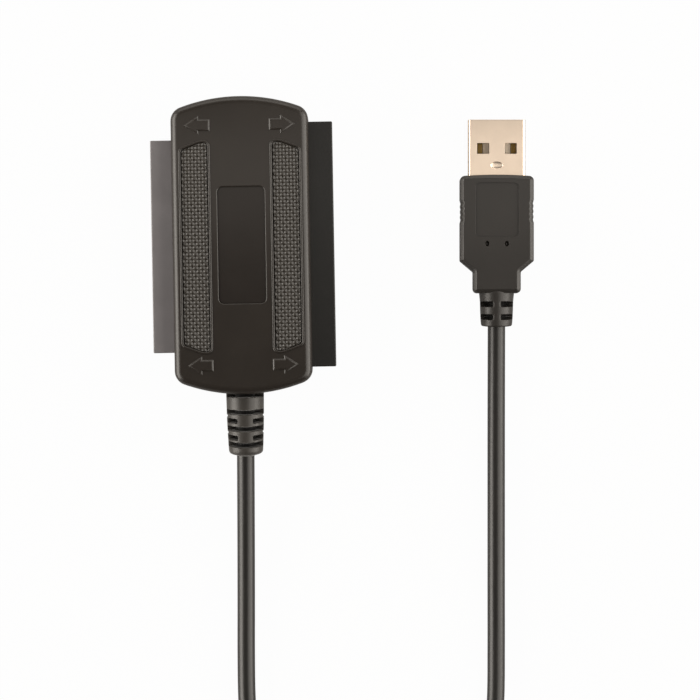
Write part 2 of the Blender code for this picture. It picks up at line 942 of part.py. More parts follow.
def make_grip():
    grip = prism("plug_grip", [grip_outline(0.0)], 0.0, grip_thickness)
    ends = (fine_fit, grip_thickness - fine_fit)
    round_edges(grip, lambda place: place.z < ends[0] or place.z > ends[1], grip_round, 3)
    profile = [
        (grip_length - grip_back_corner, relief_root_radius),
        (grip_length, relief_root_radius),
        (grip_length + relief_length - relief_chamfer, relief_tip_radius),
        (grip_length + relief_length, relief_tip_radius - relief_chamfer),
    ]
    relief = relief_body("plug_relief", profile, plug_axis)
    join(grip, relief)
    far = 2 * relief_root_radius
    web = block(
        "relief_web",
        (-far, -grip_length - relief_length, plug_axis - slot_web / 2),
        (far, -grip_length, plug_axis + slot_web / 2),
    )
    slots = []
    for distance in relief_slots:
        place = (0.0, -grip_length - distance, plug_axis)
        bridge = (relief_bridge / 2, far)
        ring = slot_cutter("slot", place, relief_slot_width, relief_core_radius, bridge)
        slots.append(baked(cut(ring, web)))
    bpy.data.objects.remove(web)
    cut(grip, gather("relief_slots", slots))
    pocket_back = shell_length - shell_exposed + fit + core_length + fit
    pocket = prism("plug_pocket", [shell_outline(fit)], -pocket_back, beyond, "Y")
    cut(grip, pocket)
    grooves = []
    rib_pitch = (rib_zone[1] - rib_zone[0]) / rib_count
    for side in (-1, 1):
        edge = side * (grip_half_width + rib_radius - rib_depth)
        for i in range(rib_count):
            y = -rib_zone[0] - (i + 0.5) * rib_pitch
            grooves.append(rod("rib_groove", rib_radius, -beyond, grip_thickness + beyond, (edge, y), sides=12))
    cut(grip, gather("rib_grooves", grooves))
    panel_middle = -(grip_panel_y[0] + grip_panel_y[1]) / 2
    panel_half = (grip_panel_y[1] - grip_panel_y[0]) / 2
    panel = rounded(rectangle(grip_panel_half_width, panel_half, (0.0, panel_middle)), grip_panel_corner)
    high = grip_thickness - grip_panel_depth
    cut(grip, prism("grip_panel", [panel], high, grip_thickness + beyond))
    for side in (-1, 1):
        oval = ellipse((side * dimple_x, -dimple_y), dimple_radii)
        low = grip_thickness - dimple_depth
        cut(grip, prism(f"grip_dimple_{side}", [oval], low, grip_thickness + beyond))
    return finish(smooth(grip, 30), (0.033, 0.03, 0.027), 0.45)


def make_shell():
    back = shell_exposed - shell_length
    shell = prism("plug_shell", [shell_outline(0.0)], back, shell_exposed, "Y")
    bore = prism("shell_bore", [shell_outline(-shell_wall)], back - beyond, shell_exposed + beyond, "Y")
    hole_far = shell_exposed - latch_hole_from_tip
    holes = [
        block(
            "latch_hole",
            (side * latch_hole_x - latch_hole_width / 2, hole_far - latch_hole_length, -beyond),
            (side * latch_hole_x + latch_hole_width / 2, hole_far, grip_thickness + beyond),
        )
        for side in (-1, 1)
    ]
    seam = block(
        "shell_seam",
        (-shell_seam / 2, back - beyond, plug_axis - shell_height),
        (shell_seam / 2, shell_exposed + beyond, plug_axis),
    )
    half_x, half_y, depth = shell_dimple_radii
    form = bmesh.new()
    bmesh.ops.create_uvsphere(form, u_segments=16, v_segments=8, radius=1.0)
    bmesh.ops.scale(form, vec=(half_x, half_y, depth), verts=form.verts)
    top = plug_axis + shell_height / 2
    bmesh.ops.translate(form, vec=(0.0, shell_exposed - shell_dimple_from_tip, top), verts=form.verts)
    dimple = mesh_object("shell_dimple", form)
    cut(shell, bore, gather("latch_holes", holes), seam, dimple)
    return finish(smooth(shell), (0.75, 0.66, 0.55), 0.25, 1.0)


def make_tongue():
    inner_half = shell_width / 2 - shell_wall - fit
    low = plug_axis - shell_height / 2 + shell_wall + fit
    high = low + plug_tongue_thickness
    back = shell_exposed - shell_length
    tongue = block(
        "plug_tongue", (-inner_half, back, low), (inner_half, shell_exposed - plug_tongue_from_tip, high)
    )
    pieces = [tongue]
    grooves = []
    for i, x in enumerate(plug_contact_x):
        front = shell_exposed - plug_contact_from_tip[i]
        half = plug_contact_width / 2
        grooves.append(
            block(
                "groove",
                (x - half - fine_fit, back - beyond, high - plug_contact_thickness - fine_fit),
                (x + half + fine_fit, front + fine_fit, high + beyond),
            )
        )
        contact = block(
            f"plug_contact_{i + 1}",
            (x - half, back, high - plug_contact_thickness),
            (x + half, front, high),
        )
        pieces.append(finish(contact, (0.8, 0.6, 0.3), 0.25, 1.0))
    cut(tongue, gather("plug_grooves", grooves))
    finish(tongue, (0.55, 0.48, 0.38), 0.5)
    return pieces


def make_core():
    front = shell_exposed - shell_length - fit
    core = prism("plug_core", [shell_outline(0.0)], front - core_length, front, "Y")
    return finish(smooth(core), (0.5, 0.5, 0.48), 0.5)


def make_plug():
    across, along = plug_place
    place = laid((across, along, 0.0))
    empty = new_empty("plug_frame", place, lie_turn)
    under(empty, make_grip(), make_shell(), make_core(), *make_tongue())


# The cord


def laid(point):
    """From the frame in which the cord runs straight down to the casing's frame, a degree apart."""
    return Matrix.Rotation(lie_turn, 3, "Z") @ Vector(point)


def smooth_route(points):
    """Points an even distance apart on a smooth curve through the given ones."""
    ends = [2 * points[0] - points[1]] + points + [2 * points[-1] - points[-2]]
    fine = []
    for a, b, c, d in zip(ends, ends[1:], ends[2:], ends[3:]):
        for i in range(24):
            t = i / 24
            bend = (2 * a - 5 * b + 4 * c - d) * t**2 + (3 * b - a - 3 * c + d) * t**3
            fine.append((2 * b + (c - a) * t + bend) / 2)
    fine.append(points[-1])
    length = sum((q - p).length for p, q in zip(fine, fine[1:]))
    count = max(2, round(length / point_spacing))
    route, gone, walked = [fine[0]], 0, 0.0
    for p, q in zip(fine, fine[1:]):
        walked += (q - p).length
        if walked >= (gone + 1) * length / count - 1e-9:
            gone += 1
            route.append(q)
    return route


# From the strain relief to the coil, and from the plug to the coil: across, along, height
box_side_route = [
    (0.00077, -0.0443, 0.00725),
    (0.00078, -0.0505, 0.0070),
    (0.00078, -0.059, 0.0056),
    (0.00078, -0.068, 0.0034),
    (0.00078, -0.077, 0.0020),
    (0.00078, -0.086, 0.00186),
    (0.00092, -0.095, 0.00185),
    (0.00150, -0.104, 0.00185),
    (0.00289, -0.1153, 0.00185),
]
plug_side_route = [
    (0.0535, -0.01707, 0.0040),
    (0.0535, -0.0240, 0.0037),
    (0.0535, -0.0320, 0.0027),
    (0.0535, -0.0400, 0.0020),
    (0.0535, -0.0490, 0.00186),
    (0.0535, -0.0600, 0.00185),
    (0.0535, -0.0730, 0.00185),
    (0.0535, -0.0860, 0.00185),
    (0.0534, -0.0950, 0.00185),
    (0.0528, -0.1040, 0.00185),
    (0.05141, -0.1153, 0.00185),
]


def make_cord():
    for name, route in (("cord_box_side", box_side_route), ("cord_plug_side", plug_side_route)):
        points = smooth_route([laid(point) for point in route])
        finish(tube(name, points, cord_radius), (0.03, 0.028, 0.026), 0.4)


def make_wires():
    colours = {
        "wire_red": (0.5, 0.02, 0.02),
        "wire_white": (0.7, 0.7, 0.68),
        "wire_green": (0.03, 0.3, 0.06),
        "wire_black": (0.02, 0.02, 0.02),
    }
    start_z = mid_height + 2 * wire_radius + wire_radius / 2
    land_z = board_top + fit + wire_radius
    for i, (name, colour) in enumerate(colours.items()):
        x = (i - 1.5) * wire_pitch
        route = [
            Vector((x, flange_inner + fit, start_z)),
            Vector((x, flange_inner + 0.0012, land_z)),
            Vector((x, -board_near_y + overlap, land_z)),
            Vector((x, -wire_land_y, land_z)),
        ]
        finish(tube(name, route, wire_radius), colour, 0.4)


def make_coil():
    low, high = coil_bottom, coil_top
    inner, outer = coil_radius - strand_reach, coil_radius + strand_reach
    turn = cord_radius * 0.6
    profile = [
        (inner + turn, high),
        (outer - turn, high),
        (outer, high - turn),
        (outer, low + turn),
        (outer - turn, low),
        (inner + turn, low),
        (inner, low + turn),
        (inner, high - turn),
    ]
    centre = laid((*coil_centre, 0.0))
    coil = baked(turned("cord_coil", profile, 48), Matrix.Translation(centre))
    finish(smooth(coil), (0.03, 0.028, 0.026), 0.4)
    half_y = strand_reach + fit
    middle = (coil_centre[1] - coil_radius, (low + high) / 2)
    half_z = (high - low) / 2 + fit
    inside = rounded(rectangle(half_y, half_z, middle), turn)
    outside = rounded(
        rectangle(half_y + strap_thickness, half_z + strap_thickness, middle), turn + strap_thickness
    )
    strap = prism("cord_tie", [outside, inside], -strap_width / 2, strap_width / 2, "X")
    empty = new_empty("coil_frame", (0.0, 0.0, 0.0), lie_turn)
    strap.location.x = coil_centre[0]
    under(empty, strap)
    finish(strap, (0.02, 0.02, 0.02), 0.7)


clear_scene()
parts = new_collection("drive_adapter")
cutters = new_collection("cutters")
make_boot()
make_plug()
make_coil()
make_cord()
make_wires()
make_board()
make_board_parts()
make_sata_port()
make_socket(socket_40)
make_socket(socket_44)
shared_openings = casing_openings()
make_bottom_cover(shared_openings)
make_top_cover(shared_openings)
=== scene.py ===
import math

import bmesh
import bpy
import numpy as np
from mathutils import Matrix, Vector


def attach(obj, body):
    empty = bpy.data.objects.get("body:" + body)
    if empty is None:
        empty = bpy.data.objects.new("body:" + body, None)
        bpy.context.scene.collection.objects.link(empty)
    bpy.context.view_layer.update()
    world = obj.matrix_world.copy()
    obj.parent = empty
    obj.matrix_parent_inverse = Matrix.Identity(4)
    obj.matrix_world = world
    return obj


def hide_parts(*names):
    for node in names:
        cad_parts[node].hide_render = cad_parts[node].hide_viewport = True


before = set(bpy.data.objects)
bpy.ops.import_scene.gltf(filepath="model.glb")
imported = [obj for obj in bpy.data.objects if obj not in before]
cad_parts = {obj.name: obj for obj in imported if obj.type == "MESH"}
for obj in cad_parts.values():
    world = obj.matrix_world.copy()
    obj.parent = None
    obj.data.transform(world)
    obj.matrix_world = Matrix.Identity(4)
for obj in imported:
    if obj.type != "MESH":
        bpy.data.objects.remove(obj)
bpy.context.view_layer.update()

# A drive adapter with its cord and plug, from above. Everything is in metres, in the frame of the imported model.
mm = 0.001
lie = math.radians(-1.0)  # the casing is turned this much against the cord, the plug and the picture


def metres(value):
    return tuple(metres(part) for part in value) if isinstance(value, (tuple, list)) else value * mm


def lengths(**values):
    # A dictionary of metres, from values in mm
    return {name: metres(value) for name, value in values.items()}


def laid(x, y, z=0.0):
    return Matrix.Rotation(lie, 3, "Z") @ Vector((x, y, z))


# Camera, straight down

picture = {
    "aim": (22.66 * mm, -21.89 * mm), "height": 1.0, "across": 146.75 * mm, "level": 8 * mm,
    "sensor": 36, "clip": (0.02, 20),
}


def placed(name, data):
    thing = bpy.data.objects.new(name, data)
    bpy.context.scene.collection.objects.link(thing)
    return thing


def makeCamera():
    lens = bpy.data.cameras.new("camera")
    lens.sensor_width = picture["sensor"]
    lens.lens = picture["sensor"] * (picture["height"] - picture["level"]) / picture["across"]
    lens.clip_start, lens.clip_end = picture["clip"]
    camera = placed("camera", lens)
    camera.location = laid(*picture["aim"], picture["height"])
    camera.rotation_euler = (0, 0, lie)
    bpy.context.scene.camera = camera


makeCamera()
print("camera set")


# Shader nodes


class Wire:
    # One output socket. Sums and products of it add the Math nodes they need.
    def __init__(self, tree, socket=None):
        self.tree = tree
        self.socket = socket

    def node(self, kind, settings=None, inputs=None, out=0):
        made = self.tree.nodes.new(kind)
        for name, value in (settings or {}).items():
            if name == "stops":
                ramp = made.color_ramp
                for stop, (place, tone) in zip([ramp.elements[0], ramp.elements[1]], value[:2]):
                    stop.position, stop.color = place, tone
                for place, tone in value[2:]:
                    ramp.elements.new(place).color = tone
            else:
                setattr(made, name, value)
        for name, value in (inputs or {}).items():
            if isinstance(value, Wire):
                self.tree.links.new(value.socket, made.inputs[name])
            else:
                made.inputs[name].default_value = value
        return Wire(self.tree, made.outputs[out] if len(made.outputs) else None)

    def maths(self, operation, first, second):
        return self.node("ShaderNodeMath", {"operation": operation}, {0: first, 1: second})

    def __add__(self, other):
        return self.maths("ADD", self, other)

    __radd__ = __add__

    def __sub__(self, other):
        return self.maths("SUBTRACT", self, other)

    def __rsub__(self, other):
        return self.maths("SUBTRACT", other, self)

    def __mul__(self, other):
        return self.maths("MULTIPLY", self, other)

    __rmul__ = __mul__

    def blend(self, low, high):
        # A colour between two, by this value
        return self.node(
            "ShaderNodeMix", {"data_type": "RGBA"}, {0: self, 6: (*low, 1), 7: (*high, 1)}, 2
        )

    def limit(self, low, high):
        # 0 below the first value, 1 above the second
        return self.node("ShaderNodeMapRange", {"clamp": True}, {"Value": self, 1: low, 2: high})


def newSurface(name):
    material = bpy.data.materials.new(name)
    material.use_nodes = True
    material.node_tree.nodes.clear()
    start = Wire(material.node_tree)
    return material, start, start.node("ShaderNodeTexCoord", out="Object")


def close(start, inputs):
    shader = start.node("ShaderNodeBsdfPrincipled", {}, inputs, "BSDF")
    start.node("ShaderNodeOutputMaterial", {}, {"Surface": shader})


def noise(place, scale, detail=3.0, stretch=None):
    # Scale is in cycles for each metre
    if stretch:
        place = place.node("ShaderNodeMapping", {}, {"Vector": place, "Scale": stretch}, "Vector")
    inputs = {"Vector": place, "Scale": scale, "Detail": detail}
    return place.node("ShaderNodeTexNoise", {"noise_dimensions": "3D"}, inputs, "Fac")


def bump(height, distance):
    return height.node("ShaderNodeBump", {}, {"Height": height, "Distance": distance, "Strength": 1.0}, "Normal")


def shade(colour, share):
    return tuple(channel * share for channel in colour)


def mouldedPlastic(name, colour, roughness, grain=2600, depth=0.006 * mm, wear=0.25, gloss=0.5):
    # Spark-eroded mould finish: fine grain, cloudy gloss, edges rubbed a little paler
    material, start, place = newSurface(name)
    fine = noise(place, grain, 2.0)
    cloud = noise(place, 160, 4.0)
    edge = start.node("ShaderNodeNewGeometry", out="Pointiness").limit(0.52, 0.62)
    worn = edge * cloud.limit(0.35, 0.75) * wear
    tone = (cloud * (1 - wear) + worn).blend(shade(colour, 0.86), shade(colour, 1.2))
    close(start, {
        "Base Color": tone,
        "Roughness": fine * 0.07 + cloud * 0.08 + (roughness - 0.075),
        "Specular IOR Level": gloss,
        "Normal": bump(fine, depth),
    })
    return material


def softRubber(name, colour, roughness, ripple, sheen=0.0):
    # Extruded or moulded flexible jacket: faint ripples along it, a satin bloom, and painted shade that darkens the
    # base colour at the bottoms of the slots
    material, start, place = newSurface(name)
    fine = noise(place, 1900, 3.0)
    waves = noise(place, 420, 2.0, (1, 0.35, 1))
    bloom = noise(place, 90, 3.0)
    # The hollow attribute carries painted shade: the deeper a point lies in a slot, the darker its base colour
    hollow = start.node("ShaderNodeAttribute", {"attribute_name": "hollow"}, out="Fac")
    close(start, {
        "Base Color": ((bloom * 0.36 + 0.64) * (1 - hollow)).blend(shade(colour, 0.08), shade(colour, 1.22)),
        "Roughness": fine * 0.06 + bloom * 0.09 + (roughness - 0.07),
        "Sheen Weight": sheen,
        "Sheen Roughness": 0.35,
        "Normal": bump(waves + fine * 0.35, ripple),
    })
    return material


def platedMetal(name, colour, roughness, stretch):
    # Rolled sheet under plating: drawn lines one way, and cloudy tarnish
    material, start, place = newSurface(name)
    lines = noise(place, 2400, 3.0, stretch)
    cloud = noise(place, 240, 3.0)
    tarnish = noise(place, 520, 4.0).limit(0.45, 0.8)
    close(start, {
        "Base Color": (cloud * 0.65 + tarnish * 0.35).blend(shade(colour, 1.04), shade(colour, 0.9)),
        "Metallic": 1.0,
        "Roughness": lines * 0.08 + cloud * 0.07 + (roughness - 0.07),
        "Normal": bump(lines, 0.0012 * mm),
    })
    return material


def wovenStrap(name, colour):
    material, start, place = newSurface(name)
    inputs = {"Vector": place, "Scale": 420.0, "Distortion": 1.5}
    across, along = [
        start.node("ShaderNodeTexWave", {"wave_type": "BANDS", "bands_direction": way}, inputs, "Fac") for way in "XY"
    ]
    fuzz = noise(place, 5200, 3.0)
    weave = across * along * 0.7 + fuzz * 0.5
    close(start, {
        "Base Color": weave.blend(shade(colour, 0.55), shade(colour, 1.5)),
        "Roughness": fuzz * 0.1 + 0.78,
        "Normal": bump(weave, 0.09 * mm),
    })
    return material


def solderBoard(name):
    # Green mask over copper tracks
    material, start, place = newSurface(name)
    tracks = start.node(
        "ShaderNodeTexBrick", {"offset": 0.37},
        {"Vector": place, "Scale": 330.0, "Mortar Size": 0.09, "Color1": (0, 0, 0, 1),
         "Color2": (0, 0, 0, 1), "Mortar": (1, 1, 1, 1)}, "Fac")
    weave = noise(place, 1500, 2.0)
    close(start, {
        "Base Color": (tracks * 0.8 + weave * 0.2).blend((0.008, 0.06, 0.022), (0.02, 0.16, 0.06)),
        "Roughness": weave * 0.1 + 0.3,
        "Normal": bump(tracks, 0.02 * mm),
    })
    return material


def epoxyChip(name, colour):
    material, start, place = newSurface(name)
    grit = noise(place, 4200, 4.0)
    close(start, {
        "Base Color": grit.blend(shade(colour, 0.8), shade(colour, 1.25)),
        "Roughness": grit * 0.15 + 0.42,
        "Normal": bump(grit, 0.012 * mm),
    })
    return material


finishes = {
    "casing": mouldedPlastic("casing plastic", (0.013, 0.0097, 0.007), 0.34),
    "window": mouldedPlastic("window plastic", (0.0105, 0.0078, 0.006), 0.34, 1500, 0.003 * mm, 0.1, 0.4),
    "bead": mouldedPlastic("grip plastic", (0.02, 0.0165, 0.0125), 0.36),
    "greySocket": mouldedPlastic("grey socket plastic", (0.148, 0.14, 0.146), 0.5, 3400),
    "blackSocket": mouldedPlastic("black socket plastic", (0.007, 0.0064, 0.0055), 0.5, 3400, gloss=0.4),
    "port": mouldedPlastic("port plastic", (0.012, 0.012, 0.0125), 0.42, 3400),
    "boot": softRubber("boot rubber", (0.027, 0.0238, 0.0203), 0.42, 0.004 * mm, 0.2),
    "grip": softRubber("grip rubber", (0.0128, 0.0106, 0.0088), 0.42, 0.003 * mm),
    "cord": softRubber("cord jacket", (0.0098, 0.0088, 0.0078), 0.36, 0.005 * mm, 0.03),
    "strap": wovenStrap("strap weave", (0.016, 0.016, 0.017)),
    "cream": mouldedPlastic("cream insulator", (0.8, 0.7, 0.57), 0.45, 3000),
    "core": mouldedPlastic("inner moulding", (0.42, 0.41, 0.38), 0.5, 3000),
    "shell": platedMetal("plated shell", (0.81, 0.675, 0.55), 0.3, (1, 0.08, 1)),
    "gold": platedMetal("gold contact", (0.79, 0.56, 0.24), 0.26, (0.1, 1, 1)),
    # A dark copy of the gold, as painted shade: the plug's contacts lie in the shade inside the shell
    "shadedGold": platedMetal("shaded gold", (0.17, 0.11, 0.036), 0.4, (0.1, 1, 1)),
    "can": platedMetal("crystal can metal", (0.62, 0.62, 0.6), 0.28, (1, 0.2, 1)),
    "board": solderBoard("board"),
    "chip": epoxyChip("chip", (0.016, 0.016, 0.017)),
    "ferrite": epoxyChip("ferrite", (0.06, 0.06, 0.065)),
    "capacitor": mouldedPlastic("capacitor", (0.46, 0.27, 0.05), 0.45, 2600),
}
wires = {"red": (0.45, 0.02, 0.02), "white": (0.66, 0.65, 0.6), "green": (0.03, 0.28, 0.06), "black": (0.016,) * 3}
finishes.update({name: softRubber(name + " wire", colour, 0.4, 0.003 * mm) for name, colour in wires.items()})
print("finishes made")


# Mesh tools


def newPiece(name, form):
    bmesh.ops.recalc_face_normals(form, faces=form.faces)
    mesh = bpy.data.meshes.new(name)
    form.to_mesh(mesh)
    form.free()
    return placed(name, mesh)


def loft(name, rings, wrap=False):
    # Rings of equally many points, joined one to the next, the ends closed or joined too
    form = bmesh.new()
    rows = [[form.verts.new(point) for point in ring] for ring in rings]
    for low, high in zip(rows, rows[1:] + rows[:1] if wrap else rows[1:]):
        for i, start in enumerate(low):
            j = (i + 1) % len(low)
            form.faces.new((start, low[j], high[j], high[i]))
    if not wrap:
        form.faces.new(rows[0][::-1])
        form.faces.new(rows[-1])
    return newPiece(name, form)


def slab(name, outline, low, high):
    return loft(name, [[(x, y, z) for x, y in outline] for z in (low, high)])


def stacked(name, outlineAt, profile):
    # The outline for each inset, at its height
    return loft(name, [[(x, y, z) for x, y in outlineAt(inset)] for inset, z in profile])


def drawn(name, outline, low, high):
    # An outline in X and Z, drawn along Y
    return loft(name, [[(x, y, z) for x, z in outline] for y in (low, high)])


def about(middle, half):
    return middle - half, middle + half


def square(spanA, spanB):
    return [(spanA[0], spanB[0]), (spanA[1], spanB[0]), (spanA[1], spanB[1]), (spanA[0], spanB[1])]


def block(name, spanX, spanY, spanZ):
    return slab(name, square(spanX, spanY), *spanZ)


def rod(name, radius, low, high, centre):
    # Along Y: centre holds X and Z
    turns = [2 * math.pi * i / 48 for i in range(48)]
    ring = [(centre[0] + radius * math.cos(a), centre[1] + radius * math.sin(a)) for a in turns]
    return drawn(name, ring, low, high)


def ellipsoid(name, size, centre, sides):
    form = bmesh.new()
    bmesh.ops.create_uvsphere(form, u_segments=sides, v_segments=sides // 2, radius=1.0)
    bmesh.ops.scale(form, vec=size, verts=form.verts)
    bmesh.ops.translate(form, vec=centre, verts=form.verts)
    return newPiece(name, form)


def gather(name, things):
    form = bmesh.new()
    for thing in things:
        form.from_mesh(thing.data)
        bpy.data.objects.remove(thing)
    return newPiece(name, form)


def bake(thing):
    # Applies the modifiers
    bpy.context.view_layer.update()
    graph = bpy.context.evaluated_depsgraph_get()
    mesh = bpy.data.meshes.new_from_object(thing.evaluated_get(graph))
    thing.modifiers.clear()
    thing.data = mesh
    return thing


def carve(thing, cutters, operation="DIFFERENCE"):
    for cutter in cutters:
        step = thing.modifiers.new("carve", "BOOLEAN")
        step.operation, step.solver, step.object = operation, "EXACT", cutter
    bake(thing)
    for cutter in cutters:
        bpy.data.objects.remove(cutter)
    form = bmesh.new()
    form.from_mesh(thing.data)
    bmesh.ops.remove_doubles(form, verts=form.verts, dist=0.5e-6)
    bmesh.ops.dissolve_limit(form, angle_limit=math.radians(0.4), verts=form.verts, edges=form.edges)
    form.to_mesh(thing.data)
    form.free()
    return thing


def soften(thing, width, segments, chosen, least=40):
    # Rounds the sharp edges whose middle passes the test
    form = bmesh.new()
    form.from_mesh(thing.data)
    edges = []
    for edge in form.edges:
        if len(edge.link_faces) == 2 and edge.calc_face_angle(0) > math.radians(least):
            if chosen((edge.verts[0].co + edge.verts[1].co) / 2):
                edges.append(edge)
    bmesh.ops.bevel(
        form, geom=edges, offset=width, segments=segments, profile=0.5, affect="EDGES", clamp_overlap=True)
    form.to_mesh(thing.data)
    form.free()
    return thing


def move(thing, matrix):
    thing.data.transform(matrix)
    return thing


def dress(thing, finish, nodes=(), sharp=38, weighted=True):
    thing.data.materials.clear()
    thing.data.materials.append(finishes[finish])
    if thing.type == "MESH":
        thing.data.shade_smooth()
        thing.data.set_sharp_from_angle(angle=math.radians(sharp))
        if weighted:
            even = thing.modifiers.new("normals", "WEIGHTED_NORMAL")
            even.keep_sharp, even.weight = True, 60
    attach(thing, "root")
    if nodes:
        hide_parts(*nodes)
    return thing


def arc(centre, radius, start, end, steps):
    turns = [start + (end - start) * i / steps for i in range(steps + 1)]
    return [(centre[0] + radius * math.cos(a), centre[1] + radius * math.sin(a)) for a in turns]


def rounded(corners, radius, steps=6):
    # A closed outline through the corners, each turned by an arc. A corner may give its own radius.
    outline = []
    for i, corner in enumerate(corners):
        here = Vector(corner[:2])
        back = (Vector(corners[i - 1][:2]) - here).normalized()
        ahead = (Vector(corners[(i + 1) % len(corners)][:2]) - here).normalized()
        turn = corner[2] if len(corner) > 2 else radius
        half = back.angle(ahead) / 2
        centre = here + (back + ahead).normalized() * turn / math.sin(half)
        reach = turn / math.tan(half)
        start, end = here + back * reach - centre, here + ahead * reach - centre
        first = math.atan2(start.y, start.x)
        sweep = (math.atan2(end.y, end.x) - first + math.pi) % (2 * math.pi) - math.pi
        outline += arc(centre, turn, first, first + sweep, steps)
    return outline


def inwards(corners, inset):
    # The same corners with each side moved in, for an outline that runs anticlockwise
    moved = []
    for i, corner in enumerate(corners):
        here = Vector(corner[:2])
        back = (here - Vector(corners[i - 1][:2])).normalized()
        ahead = (Vector(corners[(i + 1) % len(corners)][:2]) - here).normalized()
        left = Vector((-back.y, back.x)) + Vector((-ahead.y, ahead.x))
        step = left * inset / (left.length_squared / 2)
        moved.append((here.x + step.x, here.y + step.y, *corner[2:]))
    return moved


def rectangle(halfX, halfY, centre=(0.0, 0.0)):
    x, y = centre
    return [(x + halfX, y - halfY), (x + halfX, y + halfY), (x - halfX, y + halfY), (x - halfX, y - halfY)]


def outward(before, after):
    # Across the way from one point to another
    ahead = (Vector(after) - Vector(before)).normalized()
    return Vector((ahead.y, -ahead.x))


def smoothstep(value):
    value = np.clip(value, 0, 1)
    return value * value * (3 - 2 * value)


def ease(value, soft):
    # 0 below zero and 1 above it, with a soft change
    return smoothstep(value / soft + 0.5)


def edgeRound(radius, height, steps):
    # (inset, height) from an upright side over a rounded edge to the flat, towards the given height
    turns = [math.pi / 2 * i / steps for i in range(steps + 1)]
    return [(radius * (1 - math.cos(a)), height - radius * (1 - math.sin(a))) for a in turns]


# The cord: out of the strain relief, down to the floor, into a coil below the picture, and back up to the plug

cord = {
    "radius": 1.85 * mm,
    "length": 0.65,
    "boxSide": [
        (0.00077, -0.0426, 0.00645), (0.00077, -0.0443, 0.00619), (0.00078, -0.0505, 0.0051),
        (0.00078, -0.059, 0.00365), (0.00078, -0.068, 0.00245), (0.00078, -0.077, 0.00193),
        (0.00078, -0.086, 0.00186), (0.00092, -0.095, 0.00185), (0.0015, -0.104, 0.00185),
        (0.00289, -0.1153, 0.00185),
    ],
    "plugSide": [
        (0.0535, -0.0155, 0.00376), (0.0535, -0.01707, 0.00361), (0.0535, -0.024, 0.00293),
        (0.0535, -0.032, 0.0023), (0.0535, -0.04, 0.00195), (0.0535, -0.049, 0.00186),
        (0.0535, -0.06, 0.00185), (0.0535, -0.073, 0.00185), (0.0535, -0.086, 0.00185),
        (0.0534, -0.095, 0.00185), (0.0528, -0.104, 0.00185), (0.05141, -0.1153, 0.00185),
    ],
}
coil = {
    **lengths(centre=(27.15, -126.5), radius=21, pitch=3.75, strapLift=0.83, floorGap=0.02),
    "turns": 3.5, "perTurn": 18, "strapAngle": 270, "strapReach": 42, "swapFrom": 184, "swapTo": 254,
}


def coilPoints():
    # Four strands side by side and on each other. They change places once a turn, before the strap.
    points = []
    corner = coil["pitch"] / math.sqrt(2)
    count = round(coil["turns"] * coil["perTurn"])
    for i in range(count + 1):
        gone = 360 * i / coil["perTurn"]
        around = 180 + gone
        here = around % 360
        turn = math.floor((around - 180) / 360)
        swap = float(smoothstep((here - coil["swapFrom"]) / (coil["swapTo"] - coil["swapFrom"])))
        if here < 180:
            swap = 1.0
        place = math.radians(-45 - 90 * (turn + swap))
        near = abs((here - coil["strapAngle"] + 180) % 360 - 180)
        lift = coil["strapLift"] * float(smoothstep(1.4 - 1.4 * near / coil["strapReach"]))
        settle = corner * math.cos(math.radians(90 * swap) - math.pi / 4)
        height = cord["radius"] + coil["floorGap"] + lift + settle + corner * math.sin(place)
        reach = coil["radius"] + corner * math.cos(place)
        turned = math.radians(around)
        x, y = coil["centre"][0] + reach * math.cos(turned), coil["centre"][1] + reach * math.sin(turned)
        points.append(laid(x, y, height))
    return points


def makeCord():
    route = [laid(*point) for point in cord["boxSide"]] + coilPoints()
    route += [laid(*point) for point in reversed(cord["plugSide"])]
    curve = bpy.data.curves.new("cord", "CURVE")
    curve.dimensions = "3D"
    curve.bevel_depth = cord["radius"]
    curve.bevel_resolution = 6
    curve.resolution_u = 8
    curve.use_fill_caps = True
    spline = curve.splines.new("BEZIER")
    spline.bezier_points.add(len(route) - 1)
    ends = [2 * route[0] - route[1]] + route + [2 * route[-1] - route[-2]]
    for knot, before, here, after in zip(spline.bezier_points, ends, ends[1:], ends[2:]):
        lean = (after - before).normalized()
        knot.co = here
        knot.handle_left_type = knot.handle_right_type = "FREE"
        knot.handle_left = here - lean * (here - before).length / 3
        knot.handle_right = here + lean * (after - here).length / 3
    return dress(placed("cord", curve), "cord", ("cord_box_side", "cord_coil", "cord_plug_side"))


strap = {
    **lengths(width=6, thickness=0.6, clearance=0.06, corner=2.0, edge=0.2),
    # The end lies this many thicknesses out, and comes down to that in steps
    "over": 1.6, "overCorner": 1.2, "steps": (0.35, 0.6, 0.8, 1.0),
}


def makeStrap():
    # One strip round the bundle, its end laid over its start on top
    half = coil["pitch"] / 2 + cord["radius"] + strap["clearance"]
    level = cord["radius"] + coil["floorGap"] + coil["strapLift"] + coil["pitch"] / 2
    corners = rectangle(half, half, (coil["centre"][1] - coil["radius"], level))
    line = rounded(inwards(corners, -strap["thickness"] / 2), strap["corner"], 8)
    outer = rounded(inwards(corners, -strap["thickness"] * strap["over"]), strap["corner"] * strap["overCorner"], 8)
    start = next(i for i, point in enumerate(line) if point[1] > level + half)
    outer = outer[start:] + outer[:start]
    path = line[start:] + line[:start + 1]
    path += [tuple(Vector(outer[0]) * (1 - t) + Vector(outer[9]) * t) for t in strap["steps"]] + outer[10:14]
    section = rounded(rectangle(strap["width"] / 2, strap["thickness"] / 2), strap["edge"], 3)
    rings = []
    for i, (y, z) in enumerate(path):
        out = outward(path[max(i - 1, 0)], path[min(i + 1, len(path) - 1)])
        rings.append([laid(coil["centre"][0] + across, y + out.x * off, z + out.y * off) for across, off in section])
    return dress(loft("strap", rings), "strap", ("cord_tie",), 50)


theCord = makeCord()
theStrap = makeStrap()
print("cord laid")


# The casing: two covers, the window, the beaded grip panels and the arrows

